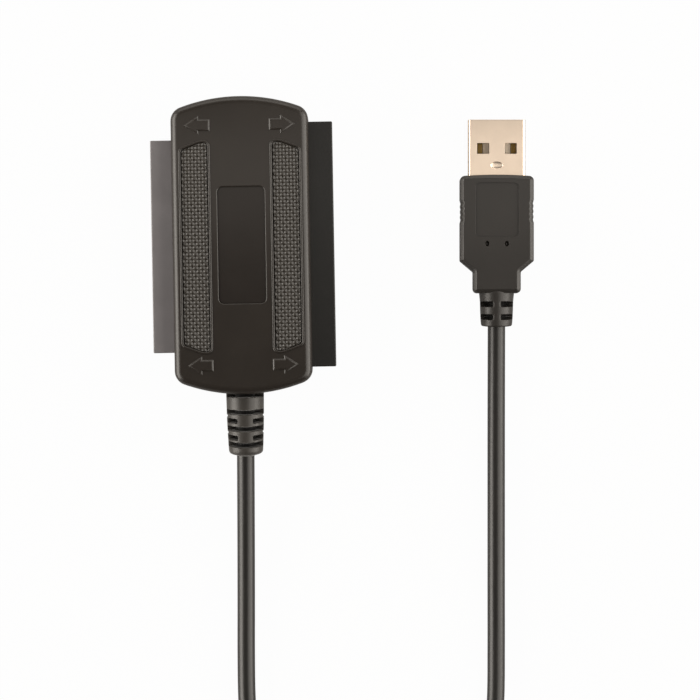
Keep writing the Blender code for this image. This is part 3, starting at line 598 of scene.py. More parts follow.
casing = lengths(
    width=28.7, length=62.2, height=14.5, endRadius=36, corner=3, leastCorner=0.3, topRound=1.6, bottomRound=1.2,
    wall=1.6, seam=0.3, seamEdge=0.12, seamTurn=0.036, lip=0.7, lipBelow=0.5, lipAbove=0.9, overLip=3,
    openingGap=0.3, cutPast=2, skin=0.02,
)
window = lengths(
    width=9.85, length=24.35, centre=(0.1, -0.02), corner=1.1, depth=0.36, edge=0.24, edgeReach=(0.5, 1.5),
    # Its floor: (inset, height)
    floor=((0.05, -0.1), (0.05, 0.0), (0.09, 0.03), (0.16, 0.05)),
)
panel = {
    **lengths(
        innerX=6.7, bendX=8.6, outerX=12.35, innerHalf=21.95, bendHalf=21.75, outerHalf=20.35, shift=-0.36,
        corner=1.0, bend=3.0, depth=0.44, edge=0.1, gap=0.02, sunk=0.05, beadPitch=(1.42, 1.43), beadHeight=0.38,
        beadTop=0.02, rimFade=0.15, ridgeWidth=0.5, ridgeHeight=0.2, ridgeTurn=0.1, ridgeSink=0.12,
    ),
    "fullness": 0.6, "fineness": 12, "rimLevel": 0.45,
}
arrow = {
    **lengths(
        shaftX=6.2, tipX=11.65, y=25.04, headLength=3.1, headHalf=1.95, shaftHalf=1.2, height=0.26, slope=0.42),
    "follow": 0.1,
    # Shares of the slope and of the height
    "steps": ((0, -0.5), (0, 0), (0.12, 0.14), (0.8, 0.92), (1, 1)),
}
boxX, boxY, boxTop = casing["width"] / 2, casing["length"] / 2, casing["height"]
midHeight = boxTop / 2
seamTop = midHeight + casing["seam"] / 2
seamBottom = midHeight - casing["seam"] / 2


def casingOutline(inset, cornerSteps=8, endSteps=36):
    radius = casing["endRadius"] - inset
    corner = max(casing["corner"] - inset, casing["leastCorner"])
    arcY = boxY - casing["endRadius"]
    cornerX = boxX - inset - corner
    cornerY = arcY + math.sqrt((radius - corner) ** 2 - cornerX**2)
    lean = math.atan2(cornerY - arcY, cornerX)
    far = arc((cornerX, cornerY), corner, 0.0, lean, cornerSteps)
    far += arc((0.0, arcY), radius, lean, math.pi - lean, endSteps)[1:-1]
    far += arc((-cornerX, cornerY), corner, math.pi - lean, math.pi, cornerSteps)
    return far + [(-x, -y) for x, y in far]


def endDistance(inset, x):
    return boxY - casing["endRadius"] + math.sqrt((casing["endRadius"] - inset) ** 2 - x**2)


def panelCorners(side):
    # The ends slope outwards, and flatten near the inner edge
    half = [
        (panel["innerX"], panel["innerHalf"], panel["corner"]),
        (panel["bendX"], panel["bendHalf"], panel["bend"]),
        (panel["outerX"], panel["outerHalf"], panel["corner"]),
    ]
    near = [(side * x, panel["shift"] - y, turn) for x, y, turn in half]
    far = [(side * x, panel["shift"] + y, turn) for x, y, turn in reversed(half)]
    return near + far if side > 0 else (near + far)[::-1]


def pastFlat(x):
    # How far a place is out over the rounded edge of the top cover
    return max(0.0, abs(x) - (boxX - casing["topRound"]))


def casingOpenings():
    gap, past = casing["openingGap"], casing["cutPast"]
    openings = []
    for spec in (socket40, socket44):
        low = boxX - casing["wall"] - casing["lip"] - past
        opening = block(
            "opening",
            (low, boxX + past),
            about(0.0, socketLength(spec) / 2 + gap),
            about(midHeight, spec["thickness"] / 2 + gap),
        )
        openings.append(move(opening, Matrix.Rotation(spec["turn"], 4, "Z")))
    openings.append(block(
        "opening",
        about(0.0, port["width"] / 2 + gap),
        (endDistance(casing["wall"], port["width"] / 2) - past, boxY + past),
        about(midHeight, port["height"] / 2 + gap),
    ))
    near = -boxY
    openings.append(rod("opening", boot["neck"] + gap, near - past, near + 2 * past, (0.0, midHeight)))
    return openings


def windowOutline(inset=0.0):
    corners = rectangle(window["width"] / 2, window["length"] / 2, window["centre"])
    return rounded(inwards(corners, inset), window["corner"] - inset, 8)


def makeTopCover():
    edge, turn, past = casing["seamEdge"], casing["seamTurn"], casing["cutPast"]
    profile = [(edge, seamTop), (turn, seamTop + turn), (0.0, seamTop + edge)]
    cover = stacked("topCover", casingOutline, profile + edgeRound(casing["topRound"], boxTop, 12))
    cutters = []
    for side in (-1, 1):
        outline = rounded(panelCorners(side), panel["corner"])
        cutters.append(slab("recess", outline, boxTop - panel["depth"], boxTop + past))
    cutters.append(slab("recess", windowOutline(), boxTop - window["depth"], boxTop + past))
    cutters.append(slab("cavity", casingOutline(casing["wall"], 4, 12), seamTop - past, boxTop - casing["wall"]))
    carve(cover, cutters + casingOpenings())
    windowX = window["width"] / 2 + window["edgeReach"][0]
    windowY = window["length"] / 2 + window["edgeReach"][1]
    level = boxTop - casing["skin"]
    soften(cover, window["edge"], 4, lambda p: p.z > level and abs(p.x) < windowX and abs(p.y) < windowY)
    soften(cover, panel["edge"], 2, lambda p: p.z > level and abs(p.x) > windowX)
    return dress(cover, "casing", ("top_cover",))


def makeWindowFloor():
    # The smooth bottom of the middle recess
    low = boxTop - window["depth"]
    profile = [(inset, low + z) for inset, z in window["floor"]]
    return dress(stacked("windowFloor", windowOutline, profile), "window", (), 40)


def makeBottomCover():
    edge, turn, low = casing["seamEdge"], casing["seamTurn"], casing["bottomRound"]
    profile = [(inset, low - (z - low)) for inset, z in edgeRound(low, 2 * low, 8)][::-1]
    profile += [(0.0, seamBottom - edge), (turn, seamBottom - turn), (edge, seamBottom)]
    cover = stacked("bottomCover", casingOutline, profile)
    outline = casingOutline(casing["wall"] - casing["lip"], 4, 12)
    carve(cover, [slab("lip", outline, seamBottom - casing["lipBelow"], seamTop + casing["lipAbove"])], "UNION")
    cavity = slab("cavity", casingOutline(casing["wall"], 4, 12), casing["wall"], seamTop + casing["overLip"])
    carve(cover, [cavity] + casingOpenings())
    return dress(cover, "casing", ("bottom_cover",))


def makeGripPanel(side):
    # A sheet of small staggered beads that fills the recess, with a closed underside
    pitchX, pitchY = panel["beadPitch"]
    columns = round((panel["outerX"] - panel["innerX"]) / pitchX * panel["fineness"])
    rows = round(2 * panel["innerHalf"] / pitchY * panel["fineness"])
    gap = panel["gap"]
    innerX, outerX = panel["innerX"] + gap, panel["outerX"] - gap
    across = np.linspace(innerX, outerX, columns + 1)
    stations = [panel["innerX"], panel["bendX"], panel["outerX"]]
    halves = np.interp(across, stations, [panel["innerHalf"], panel["bendHalf"], panel["outerHalf"]]) - gap
    # The four corners are turned like the recess
    turn = panel["corner"]
    inset = np.minimum(across - innerX, outerX - across)
    halves -= np.where(inset < turn, turn - np.sqrt(np.maximum(turn**2 - (turn - inset) ** 2, 0)), 0)
    along = np.linspace(-1, 1, rows + 1)
    x = np.repeat(across[:, None], rows + 1, 1)
    y = halves[:, None] * along[None, :]
    # Wide tops that run into each other, with narrow pits between them
    wave = np.cos(2 * math.pi * (x - innerX) / pitchX) * np.cos(2 * math.pi * y / pitchY)
    beads = (0.5 + 0.5 * wave) ** panel["fullness"]
    edge = np.minimum(np.minimum(x - innerX, outerX - x), (1 - np.abs(along))[None, :] * halves[:, None])
    least = panel["rimLevel"]
    fade = least + (1 - least) * smoothstep(edge / panel["rimFade"])
    z = boxTop - panel["beadTop"] - panel["beadHeight"] + panel["beadHeight"] * beads * fade
    y = y + panel["shift"]
    form = bmesh.new()
    top = [[form.verts.new(point) for point in line] for line in np.stack((side * x, y, z), axis=-1)]
    for here, beside in zip(top, top[1:]):
        for j in range(rows):
            form.faces.new((here[j], beside[j], beside[j + 1], here[j + 1]))
    rim = [line[0] for line in top] + top[-1][1:] + [line[-1] for line in top[-2::-1]] + top[0][-2:0:-1]
    floor = boxTop - panel["depth"] - panel["sunk"]
    under = [form.verts.new((vert.co.x, vert.co.y, floor)) for vert in rim]
    for i, vert in enumerate(rim):
        j = (i + 1) % len(rim)
        form.faces.new((vert, under[i], under[j], rim[j]))
    form.faces.new(under)
    name = "gripPanelRight" if side > 0 else "gripPanelLeft"
    return dress(newPiece(name, form), "bead", (), 180, False)


def makeRidge(side):
    # The low ridge round a grip panel. It follows the rounded edge of the cover where it runs over it.
    half, height, sink = panel["ridgeWidth"] / 2, panel["ridgeHeight"], panel["ridgeSink"]
    corners = [(x, y, turn + panel["ridgeTurn"]) for x, y, turn in inwards(panelCorners(side), -half)]
    outline = rounded(corners, 0.0, 8)
    section = [(half * math.cos(math.pi * i / 8), height * math.sin(math.pi * i / 8)) for i in range(9)]
    section += [(section[-1][0], -sink), (section[0][0], -sink)]
    rings = []
    for i, (x, y) in enumerate(outline):
        out = outward(outline[i - 1], outline[(i + 1) % len(outline)])
        level = boxTop - casing["topRound"] + math.sqrt(casing["topRound"] ** 2 - pastFlat(x) ** 2)
        rings.append([(x + out.x * off, y + out.y * off, level + rise) for off, rise in section])
    name = "panelRidgeRight" if side > 0 else "panelRidgeLeft"
    return dress(loft(name, rings, wrap=True), "casing", (), 50)


def makeArrow(sideX, sideY, name):
    # A raised arrow that points to the socket at its side. Its tip follows the rounded edge of the cover down.
    shaft, neck, tip = arrow["shaftX"], arrow["tipX"] - arrow["headLength"], arrow["tipX"]
    small, big = arrow["shaftHalf"], arrow["headHalf"]
    corners = [(shaft, -small), (neck, -small), (neck, -big), (tip, 0), (neck, big), (neck, small), (shaft, small)]
    if sideX < 0:
        corners = [(-x, y) for x, y in corners][::-1]
    rings = []
    for share, rise in arrow["steps"]:
        z = boxTop + rise * arrow["height"]
        outline = inwards(corners, share * arrow["slope"])
        rings.append([(x, y + sideY * arrow["y"], z - pastFlat(x) * arrow["follow"]) for x, y in outline])
    return dress(loft(name, rings), "casing", (), 30)


# The sockets, each built pointing to +X

socket40 = {
    "name": "socket40", "node": "socket_40_way", "turn": 0.0, "columns": 20, "finish": "blackSocket",
    **lengths(pitch=2.54, margin=0.5, thickness=5.08, out=5.0, depth=8.5, mouth=1.6, bore=0.9),
}
socket44 = {
    "name": "socket44", "node": "socket_44_way", "turn": math.pi, "columns": 22, "finish": "greySocket",
    **lengths(pitch=2.0, margin=0.5, thickness=4.0, out=4.5, depth=7.5, mouth=1.3, bore=0.8),
}
socketDetail = {
    "mouthWiden": 1.25, "mouthNarrow": 0.8, "leafShare": 0.6,
    # The leaf's line: (behind the face, off the middle of a hole), for a hole of the width leafHole
    **lengths(
        edge=0.25, mouthDepth=0.4, boreDepth=6, leaf=0.12, leafWidth=0.5, leafHole=0.95,
        leafLine=((5.6, 0.42), (3.6, 0.36), (1.6, 0.2), (0.9, 0.3)),
        tailLength=1.8, tailRoot=0.3, tailHalves=(0.25, 0.12),
    ),
}
port = {
    "contacts": 7,
    **lengths(
        width=16.8, height=6.3, depth=9, recess=0.2, edge=0.22, mouthWidth=14.4, mouthHeight=4.9, mouthDepth=6.5,
        mouthEdge=0.15, frame=0.4, tongue=5.8, tongueWidth=10.4, tongueThick=1.25, tongueRise=0.5, tongueRoot=0.5,
        tongueEdge=0.12, keyWidth=1.2, keyDrop=1.4, pitch=1.27, grooveHalf=0.57, grooveDepth=0.35, grooveOver=0.15,
        grooveStop=0.3,
    ),
}


def socketLength(spec):
    return spec["columns"] * spec["pitch"] + spec["margin"]


def holePlaces(spec):
    places = []
    for column in range(spec["columns"]):
        for row in (-0.5, 0.5):
            y = (column - (spec["columns"] - 1) / 2) * spec["pitch"]
            places.append((y, midHeight + row * spec["pitch"]))
    return places


def makeSocket(spec):
    detail = socketDetail
    outer = boxX + spec["out"]
    inner = outer - spec["depth"]
    heights = about(midHeight, spec["thickness"] / 2)
    housing = block(spec["name"], (inner, outer), about(0.0, socketLength(spec) / 2), heights)
    soften(housing, detail["edge"], 3, lambda p: True)
    mouths, bores, leaves, tails = [], [], [], []
    lead = detail["mouthDepth"] / 4
    wide, narrow = spec["mouth"] / 2 * detail["mouthWiden"], spec["bore"] / 2 * detail["mouthNarrow"]
    width = min(detail["leafWidth"], spec["bore"] * detail["leafShare"]) / 2
    for y, z in holePlaces(spec):
        rings = []
        for x, half in ((outer - detail["mouthDepth"], narrow), (outer + lead, wide)):
            rings.append([(x, *point) for point in square(about(y, half), about(z, half))])
        mouths.append(loft("mouth", rings))
        half = spec["bore"] / 2
        bores.append(block("bore", (outer - detail["boreDepth"], outer + lead / 2), about(y, half), about(z, half)))
        for face in (-1, 1):
            # One leaf of the spring contact: it leans in, then flares at the mouth
            rings = []
            for back, off in detail["leafLine"]:
                place = z + face * (off * spec["bore"] / detail["leafHole"])
                outline = square(about(y, width), (place, place - face * detail["leaf"]))
                rings.append([(outer - back, *point) for point in outline])
            leaves.append(loft("leaf", rings))
        halfY, halfZ = detail["tailHalves"]
        tail = (inner - detail["tailLength"], inner + detail["tailRoot"])
        tails.append(block("tail", tail, about(y, halfY), about(z, halfZ)))
    carve(housing, [gather("mouths", mouths), gather("bores", bores)])
    turn = Matrix.Rotation(spec["turn"], 4, "Z")
    dress(move(housing, turn), spec["finish"], (spec["node"],), 30)
    for name, pieces in (("Contacts", leaves), ("Tails", tails)):
        dress(move(gather(spec["name"] + name, pieces), turn), "gold", (), 30, False)


def makePort():
    face = endDistance(0.0, port["width"] / 2) - port["recess"]
    back, wall = face - port["depth"], face - port["mouthDepth"]
    halfWidth = port["width"] / 2
    body = block("sataPort", about(0.0, halfWidth), (back, face), about(midHeight, port["height"] / 2))
    soften(body, port["edge"], 3, lambda p: True)
    heights = about(midHeight, port["mouthHeight"] / 2)
    carve(body, [block("mouth", about(0.0, port["mouthWidth"] / 2), (wall, face + casing["cutPast"]), heights)])
    level, inside = face - casing["skin"], halfWidth - port["frame"]
    soften(body, port["mouthEdge"], 2, lambda p: p.y > level and abs(p.x) < inside)
    top = midHeight + port["tongueRise"] + port["tongueThick"] / 2
    low = top - port["tongueThick"]
    half = port["tongueWidth"] / 2
    key, drop = half - port["keyWidth"], low - port["keyDrop"]
    outline = [(-half, low), (key, low), (key, drop), (half, drop), (half, top), (-half, top)]
    tip = wall + port["tongue"]
    tongue = drawn("tongue", outline, wall - port["tongueRoot"], tip)
    soften(tongue, port["tongueEdge"], 2, lambda p: p.y > wall)
    carve(body, [tongue], "UNION")
    grooves = []
    spanY = (back - casing["cutPast"], tip - port["grooveStop"])
    spanZ = (top - port["grooveDepth"], top + port["grooveOver"])
    for i in range(port["contacts"]):
        middle = (i - (port["contacts"] - 1) / 2) * port["pitch"]
        grooves.append(block("groove", about(middle, port["grooveHalf"]), spanY, spanZ))
    carve(body, [gather("grooves", grooves)])
    dress(body, "port", ("sata_port",), 30)


# Strain reliefs: a radius for each place along and around, on an axis that droops to the cord

boot = {
    "droop": 7.0, "crease": 1.3, "leanFrom": 0.3, "rows": 172, "sides": 176,
    **lengths(
        length=12.9, neck=3.0, core=1.9, bridge=1.72, shift=0.1, sagReach=1.2, slotSoft=0.18,
        profile=[(0.0, 3.96), (2.3, 3.92), (3.4, 3.9), (5.7, 3.86), (8.0, 3.77), (10.6, 3.66), (11.8, 3.58),
                 (12.15, 3.48), (12.4, 3.26), (12.6, 2.84), (12.75, 2.3), (12.88, 1.95)],
        # The slots run askew, more and more from a little way out
        lean=0.36, leanOver=3,
        topSlots=[(0.3, 0.76), (3.8, 0.88), (7.2, 0.92), (10.5, 0.92)], topWeb=0.25, topSoft=0.25,
        sideSlots=[(5.6, 0.85), (9.05, 0.88)], sideWeb=0.6, sideSoft=0.3, bridgeSoft=0.2,
        notches=[(4.82, 0.42), (8.28, 0.42)], notchDepth=0.55, notchSoft=0.2, notchHalf=1.0, notchEnd=0.5,
        # Inside the casing: (radius, from, to)
        inside=[(3.0, 0.02, 1.7), (3.0, 1.2, 2.4), (4.6, 1.9, 3.4)],
    ),
}
relief = {
    "droop": 6.0, "crease": 1.3, "rows": 96, "sides": 144,
    **lengths(
        length=6.9, core=1.9, web=0.3, webSoft=0.2, slotSoft=0.18, rampFrom=0.62, rampTo=1.5,
        profile=[(-0.8, 3.68), (0.0, 3.68), (0.8, 3.6), (1.8, 3.5), (3.6, 3.46), (5.4, 3.38), (6.5, 3.29),
                 (6.75, 3.2), (6.88, 3.0), (6.9, 2.0)],
        slots=[(2.25, 0.98), (4.85, 0.98)],
    ),
}
# How the painted shade in the slots grows with their depth
slotShade = {"gain": 1.5, "radius": 3.6 * mm}


def slotDepth(distance, slots, soft):
    # 1 inside a slot, 0 outside, with soft edges
    depth = np.zeros_like(distance)
    for centre, width in slots:
        off = np.abs(distance - centre)
        depth = np.maximum(depth, 1 - smoothstep((off - (width / 2 - soft / 2)) / soft))
    return depth


def slotOff(distance, slots):
    # How far it is to the middle of the nearest slot: the slots' floors are creased there
    return np.min([np.abs(distance - centre) for centre, _ in slots], axis=0)


def makeSleeve(name, spec, depthAt, placeAt):
    places, radii = np.array(spec["profile"]).T
    distance = np.linspace(places[0], places[-1], spec["rows"])
    angle = np.linspace(0, 2 * math.pi, spec["sides"], endpoint=False)
    rings, paintedSlotShade = [], []
    for d in distance:
        outer = np.interp(d, places, radii)
        depth = np.clip(depthAt(np.full_like(angle, d), angle, outer), 0, max(outer - spec["core"], 0))
        # Painted shade, stronger deeper in the slots
        paintedSlotShade.append(smoothstep(slotShade["gain"] * depth / (slotShade["radius"] - spec["core"])))
        lean = math.radians(spec["droop"]) * max(d, 0) / spec["length"]
        drop = lean * max(d, 0) / 2
        ring = []
        for a, r in zip(angle, outer - depth):
            side, up = r * math.cos(a), r * math.sin(a)
            ring.append(placeAt(side, d * math.cos(lean / 2) + up * math.sin(lean), up * math.cos(lean) - drop))
        rings.append(ring)
    sleeve = loft(name, rings)
    # How deep each point lies in a slot, as painted shade: the finish darkens the base colour there
    sleeve.data.attributes.new("hollow", "FLOAT", "POINT").data.foreach_set("value", np.concatenate(paintedSlotShade))
    return sleeve


def makeBoot():
    start = -boxY

    def depthAt(distance, angle, outer):
        up, side = np.abs(outer * np.sin(angle)), np.abs(outer * np.cos(angle))
        reach = np.clip(distance / boot["leanOver"] - boot["leanFrom"], 0, 1)
        distance = distance + boot["lean"] * (1 - np.sin(angle)) * reach
        full = outer - boot["core"]
        offTop, offSide = [slotOff(distance, boot[slots]) * boot["crease"] for slots in ("topSlots", "sideSlots")]
        above = ease(up - boot["topWeb"] - offTop, boot["topSoft"])
        beside = ease(up - boot["sideWeb"] - offSide, boot["sideSoft"])
        beside = beside * ease(side - boot["bridge"], boot["bridgeSoft"])
        level = 1 - ease(up - boot["notchHalf"], boot["notchEnd"])
        top = slotDepth(distance, boot["topSlots"], boot["slotSoft"]) * above * (full - offTop)
        pocket = slotDepth(distance, boot["sideSlots"], boot["slotSoft"]) * beside * (full - offSide)
        notch = slotDepth(distance, boot["notches"], boot["notchSoft"]) * level * boot["notchDepth"]
        return np.maximum(np.maximum(top, pocket), notch)

    def placeAt(side, distance, up):
        # The front follows the curved end of the casing
        x = side + boot["shift"]
        sag = (boxY - endDistance(0.0, x)) * max(0.0, 1 - distance / boot["sagReach"])
        return (x, start - distance + sag, midHeight + up)

    dress(makeSleeve("cordBoot", boot, depthAt, placeAt), "boot", ("cord_boot",), 60, False)
    rods = []
    for radius, low, high in boot["inside"]:
        rods.append(rod("inside", radius, start + low, start + high, (0.0, midHeight)))
    dress(gather("bootFlange", rods), "boot", (), 30, False)


# The plug, in its own frame: the origin under the front of the moulding, +Y to the tip

plug = {
    **lengths(
        across=53.5, along=14.9, thickness=8.0, half=7.74, shoulder=18.1, waist=20.4, waistHalf=5.0, length=24.84,
        frontCorner=1.0, backCorner=0.9, waistCorner=0.5, leastCorner=0.08, bow=0.3, bowReach=3, longSide=10,
        even=0.0001, clear=1, ribFrom=5.45, ribTo=9.96, ribDepth=0.2, ribInset=0.08, edge=0.85, panelHalf=4.5,
        panelFrom=1.7, panelTo=13.05, panelCorner=0.9, panelDepth=0.24, panelEdge=0.14, panelReach=0.2,
        dimpleX=2.05, dimpleY=14.5, dimple=(0.45, 0.6, 0.7), pocketGap=0.08, pocketCorner=0.65, pocketDepth=15.8,
    ),
    "ribs": 4, "flankSteps": 140, "frontSteps": 24,
    # Shares of the edge: inset and drop. Mostly a flat chamfer, blended into the side and the top.
    "chamfer": ((0.0, 1.0), (0.03, 0.83), (0.1, 0.7), (0.75, 0.15), (0.88, 0.05), (1.06, 0.0)),
}
shell = lengths(
    width=12.0, height=4.5, wall=0.3, corner=0.6, leastCorner=0.1, exposed=11.6, length=18.75, holeX=2.9,
    holeWidth=2.55, holeLength=2.2, holeCorner=0.12, holeEdge=0.07, holeReach=0.05, holeFromTip=4.95,
    seamHalf=0.07, past=1,
    # The pressed tab, a shallow crescent in the sheet
    tab=(1.35, 0.8, 0.22), tabFromTip=9.6,
    # The open end of the sheet: (off its outer or inner face, from the tip)
    outerEdge=((0.0, 0.15), (0.01, 0.05), (0.05, 0.0)), innerEdge=((0.08, 0.0), (0.0, 0.15)),
)
plugAxis = plug["thickness"] / 2
plugFrame = Matrix.Translation(laid(plug["across"], plug["along"])) @ Matrix.Rotation(lie, 4, "Z")


def gripOutline(inset):
    half, waist = plug["half"], plug["waistHalf"]
    right = [
        (waist, -plug["length"], plug["backCorner"]),
        (waist, -plug["waist"], plug["waistCorner"]),
        (half, -plug["shoulder"], plug["waistCorner"]),
        (half, 0.0, plug["frontCorner"]),
    ]
    corners = right + [(-corner[0], *corner[1:]) for corner in reversed(right)]
    turned = []
    for i, (x, y, turn) in enumerate(inwards(corners, inset)):
        hollow = i in (1, 6)
        turned.append((x, y, max(turn + (inset if hollow else -inset), plug["leastCorner"])))
    outline = rounded(turned, 0.0, 6)
    # The long sides get more points: ribs on both flanks, and a front edge that bows forward
    dense = []
    for (x, y), (nextX, nextY) in zip(outline, outline[1:] + outline[:1]):
        dense.append((x, y))
        runX, runY = nextX - x, nextY - y
        if abs(runX) < plug["even"] and abs(runY) > plug["longSide"]:
            dense += [(x, y + runY * t / plug["flankSteps"]) for t in range(1, plug["flankSteps"])]
        elif abs(runY) < plug["even"] and abs(runX) > plug["longSide"]:
            dense += [(x + runX * t / plug["frontSteps"], y) for t in range(1, plug["frontSteps"])]
    shaped = []
    pitch = (plug["ribTo"] - plug["ribFrom"]) / plug["ribs"]
    for x, y in dense:
        back = -y
        if plug["ribFrom"] < back < plug["ribTo"] and abs(x) > plug["waistHalf"] + plug["clear"]:
            groove = (0.5 - 0.5 * math.cos(2 * math.pi * (back - plug["ribFrom"]) / pitch)) ** 1.5
            x -= math.copysign(plug["ribInset"] + (plug["ribDepth"] - plug["ribInset"]) * groove, x)
        bow = plug["bow"] * min(1.0, (x / plug["half"]) ** 2) * max(0.0, 1 - back / plug["bowReach"])
        shaped.append((x, y - bow))
    return shaped


def makeGrip():
    top = plug["thickness"]
    chamfer = [(share * plug["edge"], drop * plug["edge"]) for share, drop in plug["chamfer"]]
    grip = stacked("plugGrip", gripOutline, chamfer[::-1] + [(inset, top - drop) for inset, drop in chamfer])
    middle = -(plug["panelFrom"] + plug["panelTo"]) / 2
    halfY = (plug["panelTo"] - plug["panelFrom"]) / 2
    outline = rounded(rectangle(plug["panelHalf"], halfY, (0.0, middle)), plug["panelCorner"])
    cutters = [slab("panel", outline, top - plug["panelDepth"], top + casing["cutPast"])]
    for side in (-1, 1):
        cutters.append(ellipsoid("dimple", plug["dimple"], (side * plug["dimpleX"], -plug["dimpleY"], top), 24))
    gap = plug["pocketGap"]
    pocket = rectangle(shell["width"] / 2 + gap, shell["height"] / 2 + gap, (0.0, plugAxis))
    cutters.append(drawn("pocket", rounded(pocket, plug["pocketCorner"], 6), -plug["pocketDepth"], casing["cutPast"]))
    carve(grip, cutters)
    level, reach = top - casing["skin"], plug["panelHalf"] + plug["panelReach"]
    soften(grip, plug["panelEdge"], 3, lambda p: p.z > level and abs(p.x) < reach and p.y < -plug["clear"])
    return dress(move(grip, plugFrame), "grip", ("plug_grip",), 32)


def makeRelief():
    def depthAt(distance, angle, outer):
        up, side = np.abs(outer * np.sin(angle)), np.abs(outer * np.cos(angle))
        off = slotOff(distance, relief["slots"]) * relief["crease"]
        slots = slotDepth(distance, relief["slots"], relief["slotSoft"]) * (outer - relief["core"] - off)
        ramp = smoothstep((side - relief["rampFrom"]) / (relief["rampTo"] - relief["rampFrom"]))
        return slots * ramp * ease(up - relief["web"] - off, relief["webSoft"])

    def placeAt(side, distance, up):
        return (side, -plug["length"] - distance, plugAxis + up)

    sleeve = move(makeSleeve("plugRelief", relief, depthAt, placeAt), plugFrame)
    return dress(sleeve, "grip", (), 60, False)


def shellOutline(inset):
    corners = rectangle(shell["width"] / 2 - inset, shell["height"] / 2 - inset, (0.0, plugAxis))
    return rounded(corners, max(shell["corner"] - inset, shell["leastCorner"]))


def makeShell():
    tip, wall, past = shell["exposed"], shell["wall"], shell["past"]
    back = tip - shell["length"]
    stations = [(0.0, back)] + [(inset, tip - y) for inset, y in shell["outerEdge"]]
    stations += [(wall - inset, tip - y) for inset, y in shell["innerEdge"]] + [(wall, back)]
    rings = [[(x, y, z) for x, z in shellOutline(inset)] for inset, y in stations]
    tube = loft("plugShell", rings, wrap=True)
    holeY = tip - shell["holeFromTip"] - shell["holeLength"] / 2
    holes = []
    for side in (-1, 1):
        corners = rectangle(shell["holeWidth"] / 2, shell["holeLength"] / 2, (side * shell["holeX"], holeY))
        outline = rounded(corners, shell["holeCorner"], 3)
        holes.append(slab("hole", outline, -past, plug["thickness"] + past))
    heights = (plugAxis - shell["height"], plugAxis)
    seam = block("seam", about(0.0, shell["seamHalf"]), (back - past, tip + past), heights)
    top = plugAxis + shell["height"] / 2
    tab = ellipsoid("tab", shell["tab"], (0.0, tip - shell["tabFromTip"], top + casing["skin"]), 40)
    carve(tube, [gather("holes", holes), seam, tab])
    reach, level = shell["holeLength"] / 2 + shell["holeReach"], shell["height"] / 2 - casing["skin"]
    soften(tube, shell["holeEdge"], 2, lambda p: abs(p.z - plugAxis) > level and abs(p.y - holeY) < reach, 60)
    return dress(move(tube, plugFrame), "shell", ("plug_shell",), 40)


makeTopCover()
makeWindowFloor()
makeBottomCover()
for side in (-1, 1):
    makeGripPanel(side)
    makeRidge(side)
for sideX, sideName in ((-1, "Left"), (1, "Right")):
    for sideY, endName in ((-1, "Near"), (1, "Far")):
        makeArrow(sideX, sideY, "arrow" + endName + sideName)
print("casing made")
makeSocket(socket40)
makeSocket(socket44)
makePort()
print("sockets made")
makeBoot()
plugPieces = [makeGrip(), makeRelief(), makeShell()]
print("strain reliefs and plug made")


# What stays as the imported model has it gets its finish

carried = {
    "circuit_board": ("board", "board_green"),
    "bridge_chip": ("chip", "chip_black"),
    "memory_chip": ("chip", "chip_black"),
    "regulator": ("chip", "chip_black"),
    "ferrite_bead": ("ferrite", "chip_black"),
    "capacitor_input": ("capacitor", "capacitor_yellow"),
    "capacitor_output": ("capacitor", "capacitor_yellow"),
    "crystal": ("can", "crystal_can"),
    **{f"wire_{name}": (name, f"wire_{name}") for name in wires},
    "plug_core": ("core", "core_ivory"),
    "plug_tongue": ("cream", "core_ivory"),
    **{f"sata_contact_{i}": ("gold", "contact_gold") for i in range(1, 8)},
    # The plug's contacts take the gold darkened as painted shade
    **{f"plug_contact_{i}": ("shadedGold", "contact_gold") for i in range(1, 5)},
}
for nodeName, (finish, slotName) in carried.items():
    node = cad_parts[nodeName]
    node.data.materials.clear()
    node.data.materials.append(finishes[finish])
onCord = plugPieces + [theStrap, "plug_core", "plug_tongue"] + [f"plug_contact_{i}" for i in range(1, 5)]
print("packed pieces finished")


# Floor, light and air

studio = {
    "floorTone": 0.52,
    "floorMottle": 0.985,
    "floorDrop": 0.05 * mm,
    "floorGlow": 0.97,
    "air": 0.02,
    "glossShare": 0.1,
    "lampColour": (1.0, 0.945, 0.87),
    "middle": (22 * mm, -22 * mm, 8 * mm),
    "sides": {
        # azimuth, elevation, distance, length along the floor, height, radiance
        "leftLow": (180, 9, 0.6, 0.9, 0.2, 5.0),
        "leftHigh": (180, 29, 0.6, 0.8, 0.21, 5.1),
        "rightLow": (0, 12, 0.6, 0.9, 0.24, 4.1),
        "rightMiddle": (0, 33, 0.6, 0.8, 0.2, 2.5),
        "rightHigh": (0, 54, 0.6, 0.8, 0.24, 2.2),
        "far": (90, 16, 0.6, 0.9, 0.3, 1.7),
    },
    "tops": {
        # place, size, radiance
        "overCasing": ((22, 16, 55), (150, 24), 0.5),
        "overAll": ((22, 60, 250), (300, 160), 0.12),
        "overShell": ((56, 24, 90), (44, 34), 0.16),
    },
}


def seenWhite(start):
    # The camera sees the ground and the air white, clear things too. Gloss shows a part of that.
    camera, clear, gloss = [
        start.node("ShaderNodeLightPath", out=f"Is {kind} Ray") for kind in ("Camera", "Transmission", "Glossy")
    ]
    return camera + clear + gloss * studio["glossShare"]


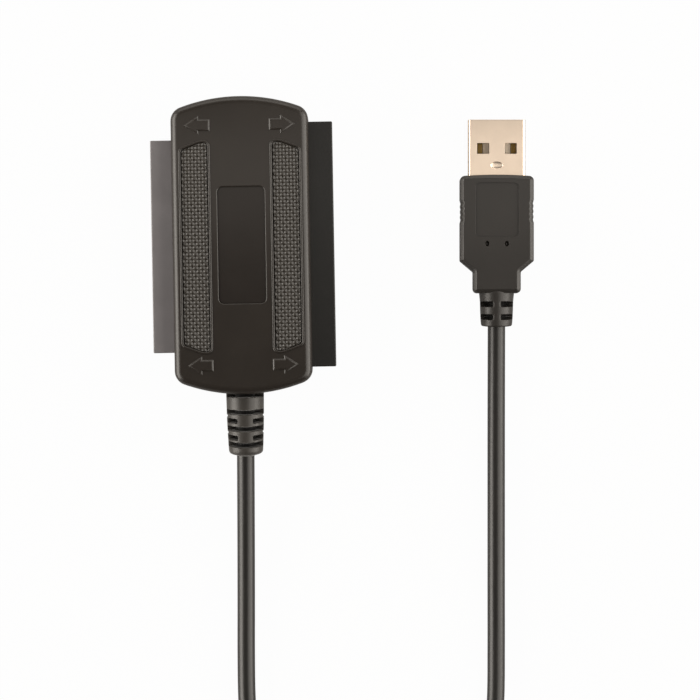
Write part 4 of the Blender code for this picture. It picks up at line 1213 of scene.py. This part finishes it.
def makeFloor():
    form = bmesh.new()
    bmesh.ops.create_grid(form, x_segments=8, y_segments=8, size=3.0)
    floor = newPiece("floor", form)
    floor.location.z = -studio["floorDrop"]
    material, start, place = newSurface("pale ground")
    tone = studio["floorTone"]
    mottle = noise(place, 30, 2.0).blend((tone,) * 3, (tone * studio["floorMottle"],) * 3)
    lit = start.node("ShaderNodeBsdfDiffuse", {}, {"Color": mottle}, "BSDF")
    glow = start.node("ShaderNodeEmission", {}, {"Color": (1, 1, 1, 1), "Strength": 1.0}, "Emission")
    share = seenWhite(start) * studio["floorGlow"]
    both = start.node("ShaderNodeMixShader", {}, {0: share, 1: lit, 2: glow}, "Shader")
    start.node("ShaderNodeOutputMaterial", {}, {"Surface": both})
    floor.data.materials.append(material)


def makeAir():
    world = bpy.data.worlds.new("air")
    bpy.context.scene.world = world
    world.use_nodes = True
    world.node_tree.nodes.clear()
    start = Wire(world.node_tree)
    level = seenWhite(start) * (1 - studio["air"]) + studio["air"]
    air = start.node("ShaderNodeBackground", {}, {"Color": (1, 1, 1, 1), "Strength": level}, "Background")
    start.node("ShaderNodeOutputWorld", {}, {"Surface": air})


def makeLight(name, place, aim, size, radiance):
    lamp = bpy.data.lights.new(name, "AREA")
    lamp.shape = "RECTANGLE"
    lamp.size, lamp.size_y = size
    lamp.energy = 4 * size[0] * size[1] * radiance
    lamp.color = studio["lampColour"]
    thing = placed(name, lamp)
    thing.location = place
    toward = Vector(aim) - Vector(place)
    thing.rotation_euler = toward.to_track_quat("-Z", "Y").to_euler()
    thing.visible_camera = False


def makeLights():
    middle = Vector(studio["middle"])
    for name, (azimuth, elevation, distance, length, height, radiance) in studio["sides"].items():
        turn, rise = math.radians(azimuth), math.radians(elevation)
        out = Vector((math.cos(turn) * math.cos(rise), math.sin(turn) * math.cos(rise), math.sin(rise)))
        makeLight(name, middle + out * distance, middle, (length, height), radiance)
    for name, (place, size, radiance) in studio["tops"].items():
        x, y, z = (value * mm for value in place)
        makeLight(name, (x, y, z), (x, y, 0.0), [value * mm for value in size], radiance)


makeFloor()
makeAir()
makeLights()
bpy.context.scene.view_settings.view_transform = "Standard"
print("studio lit")
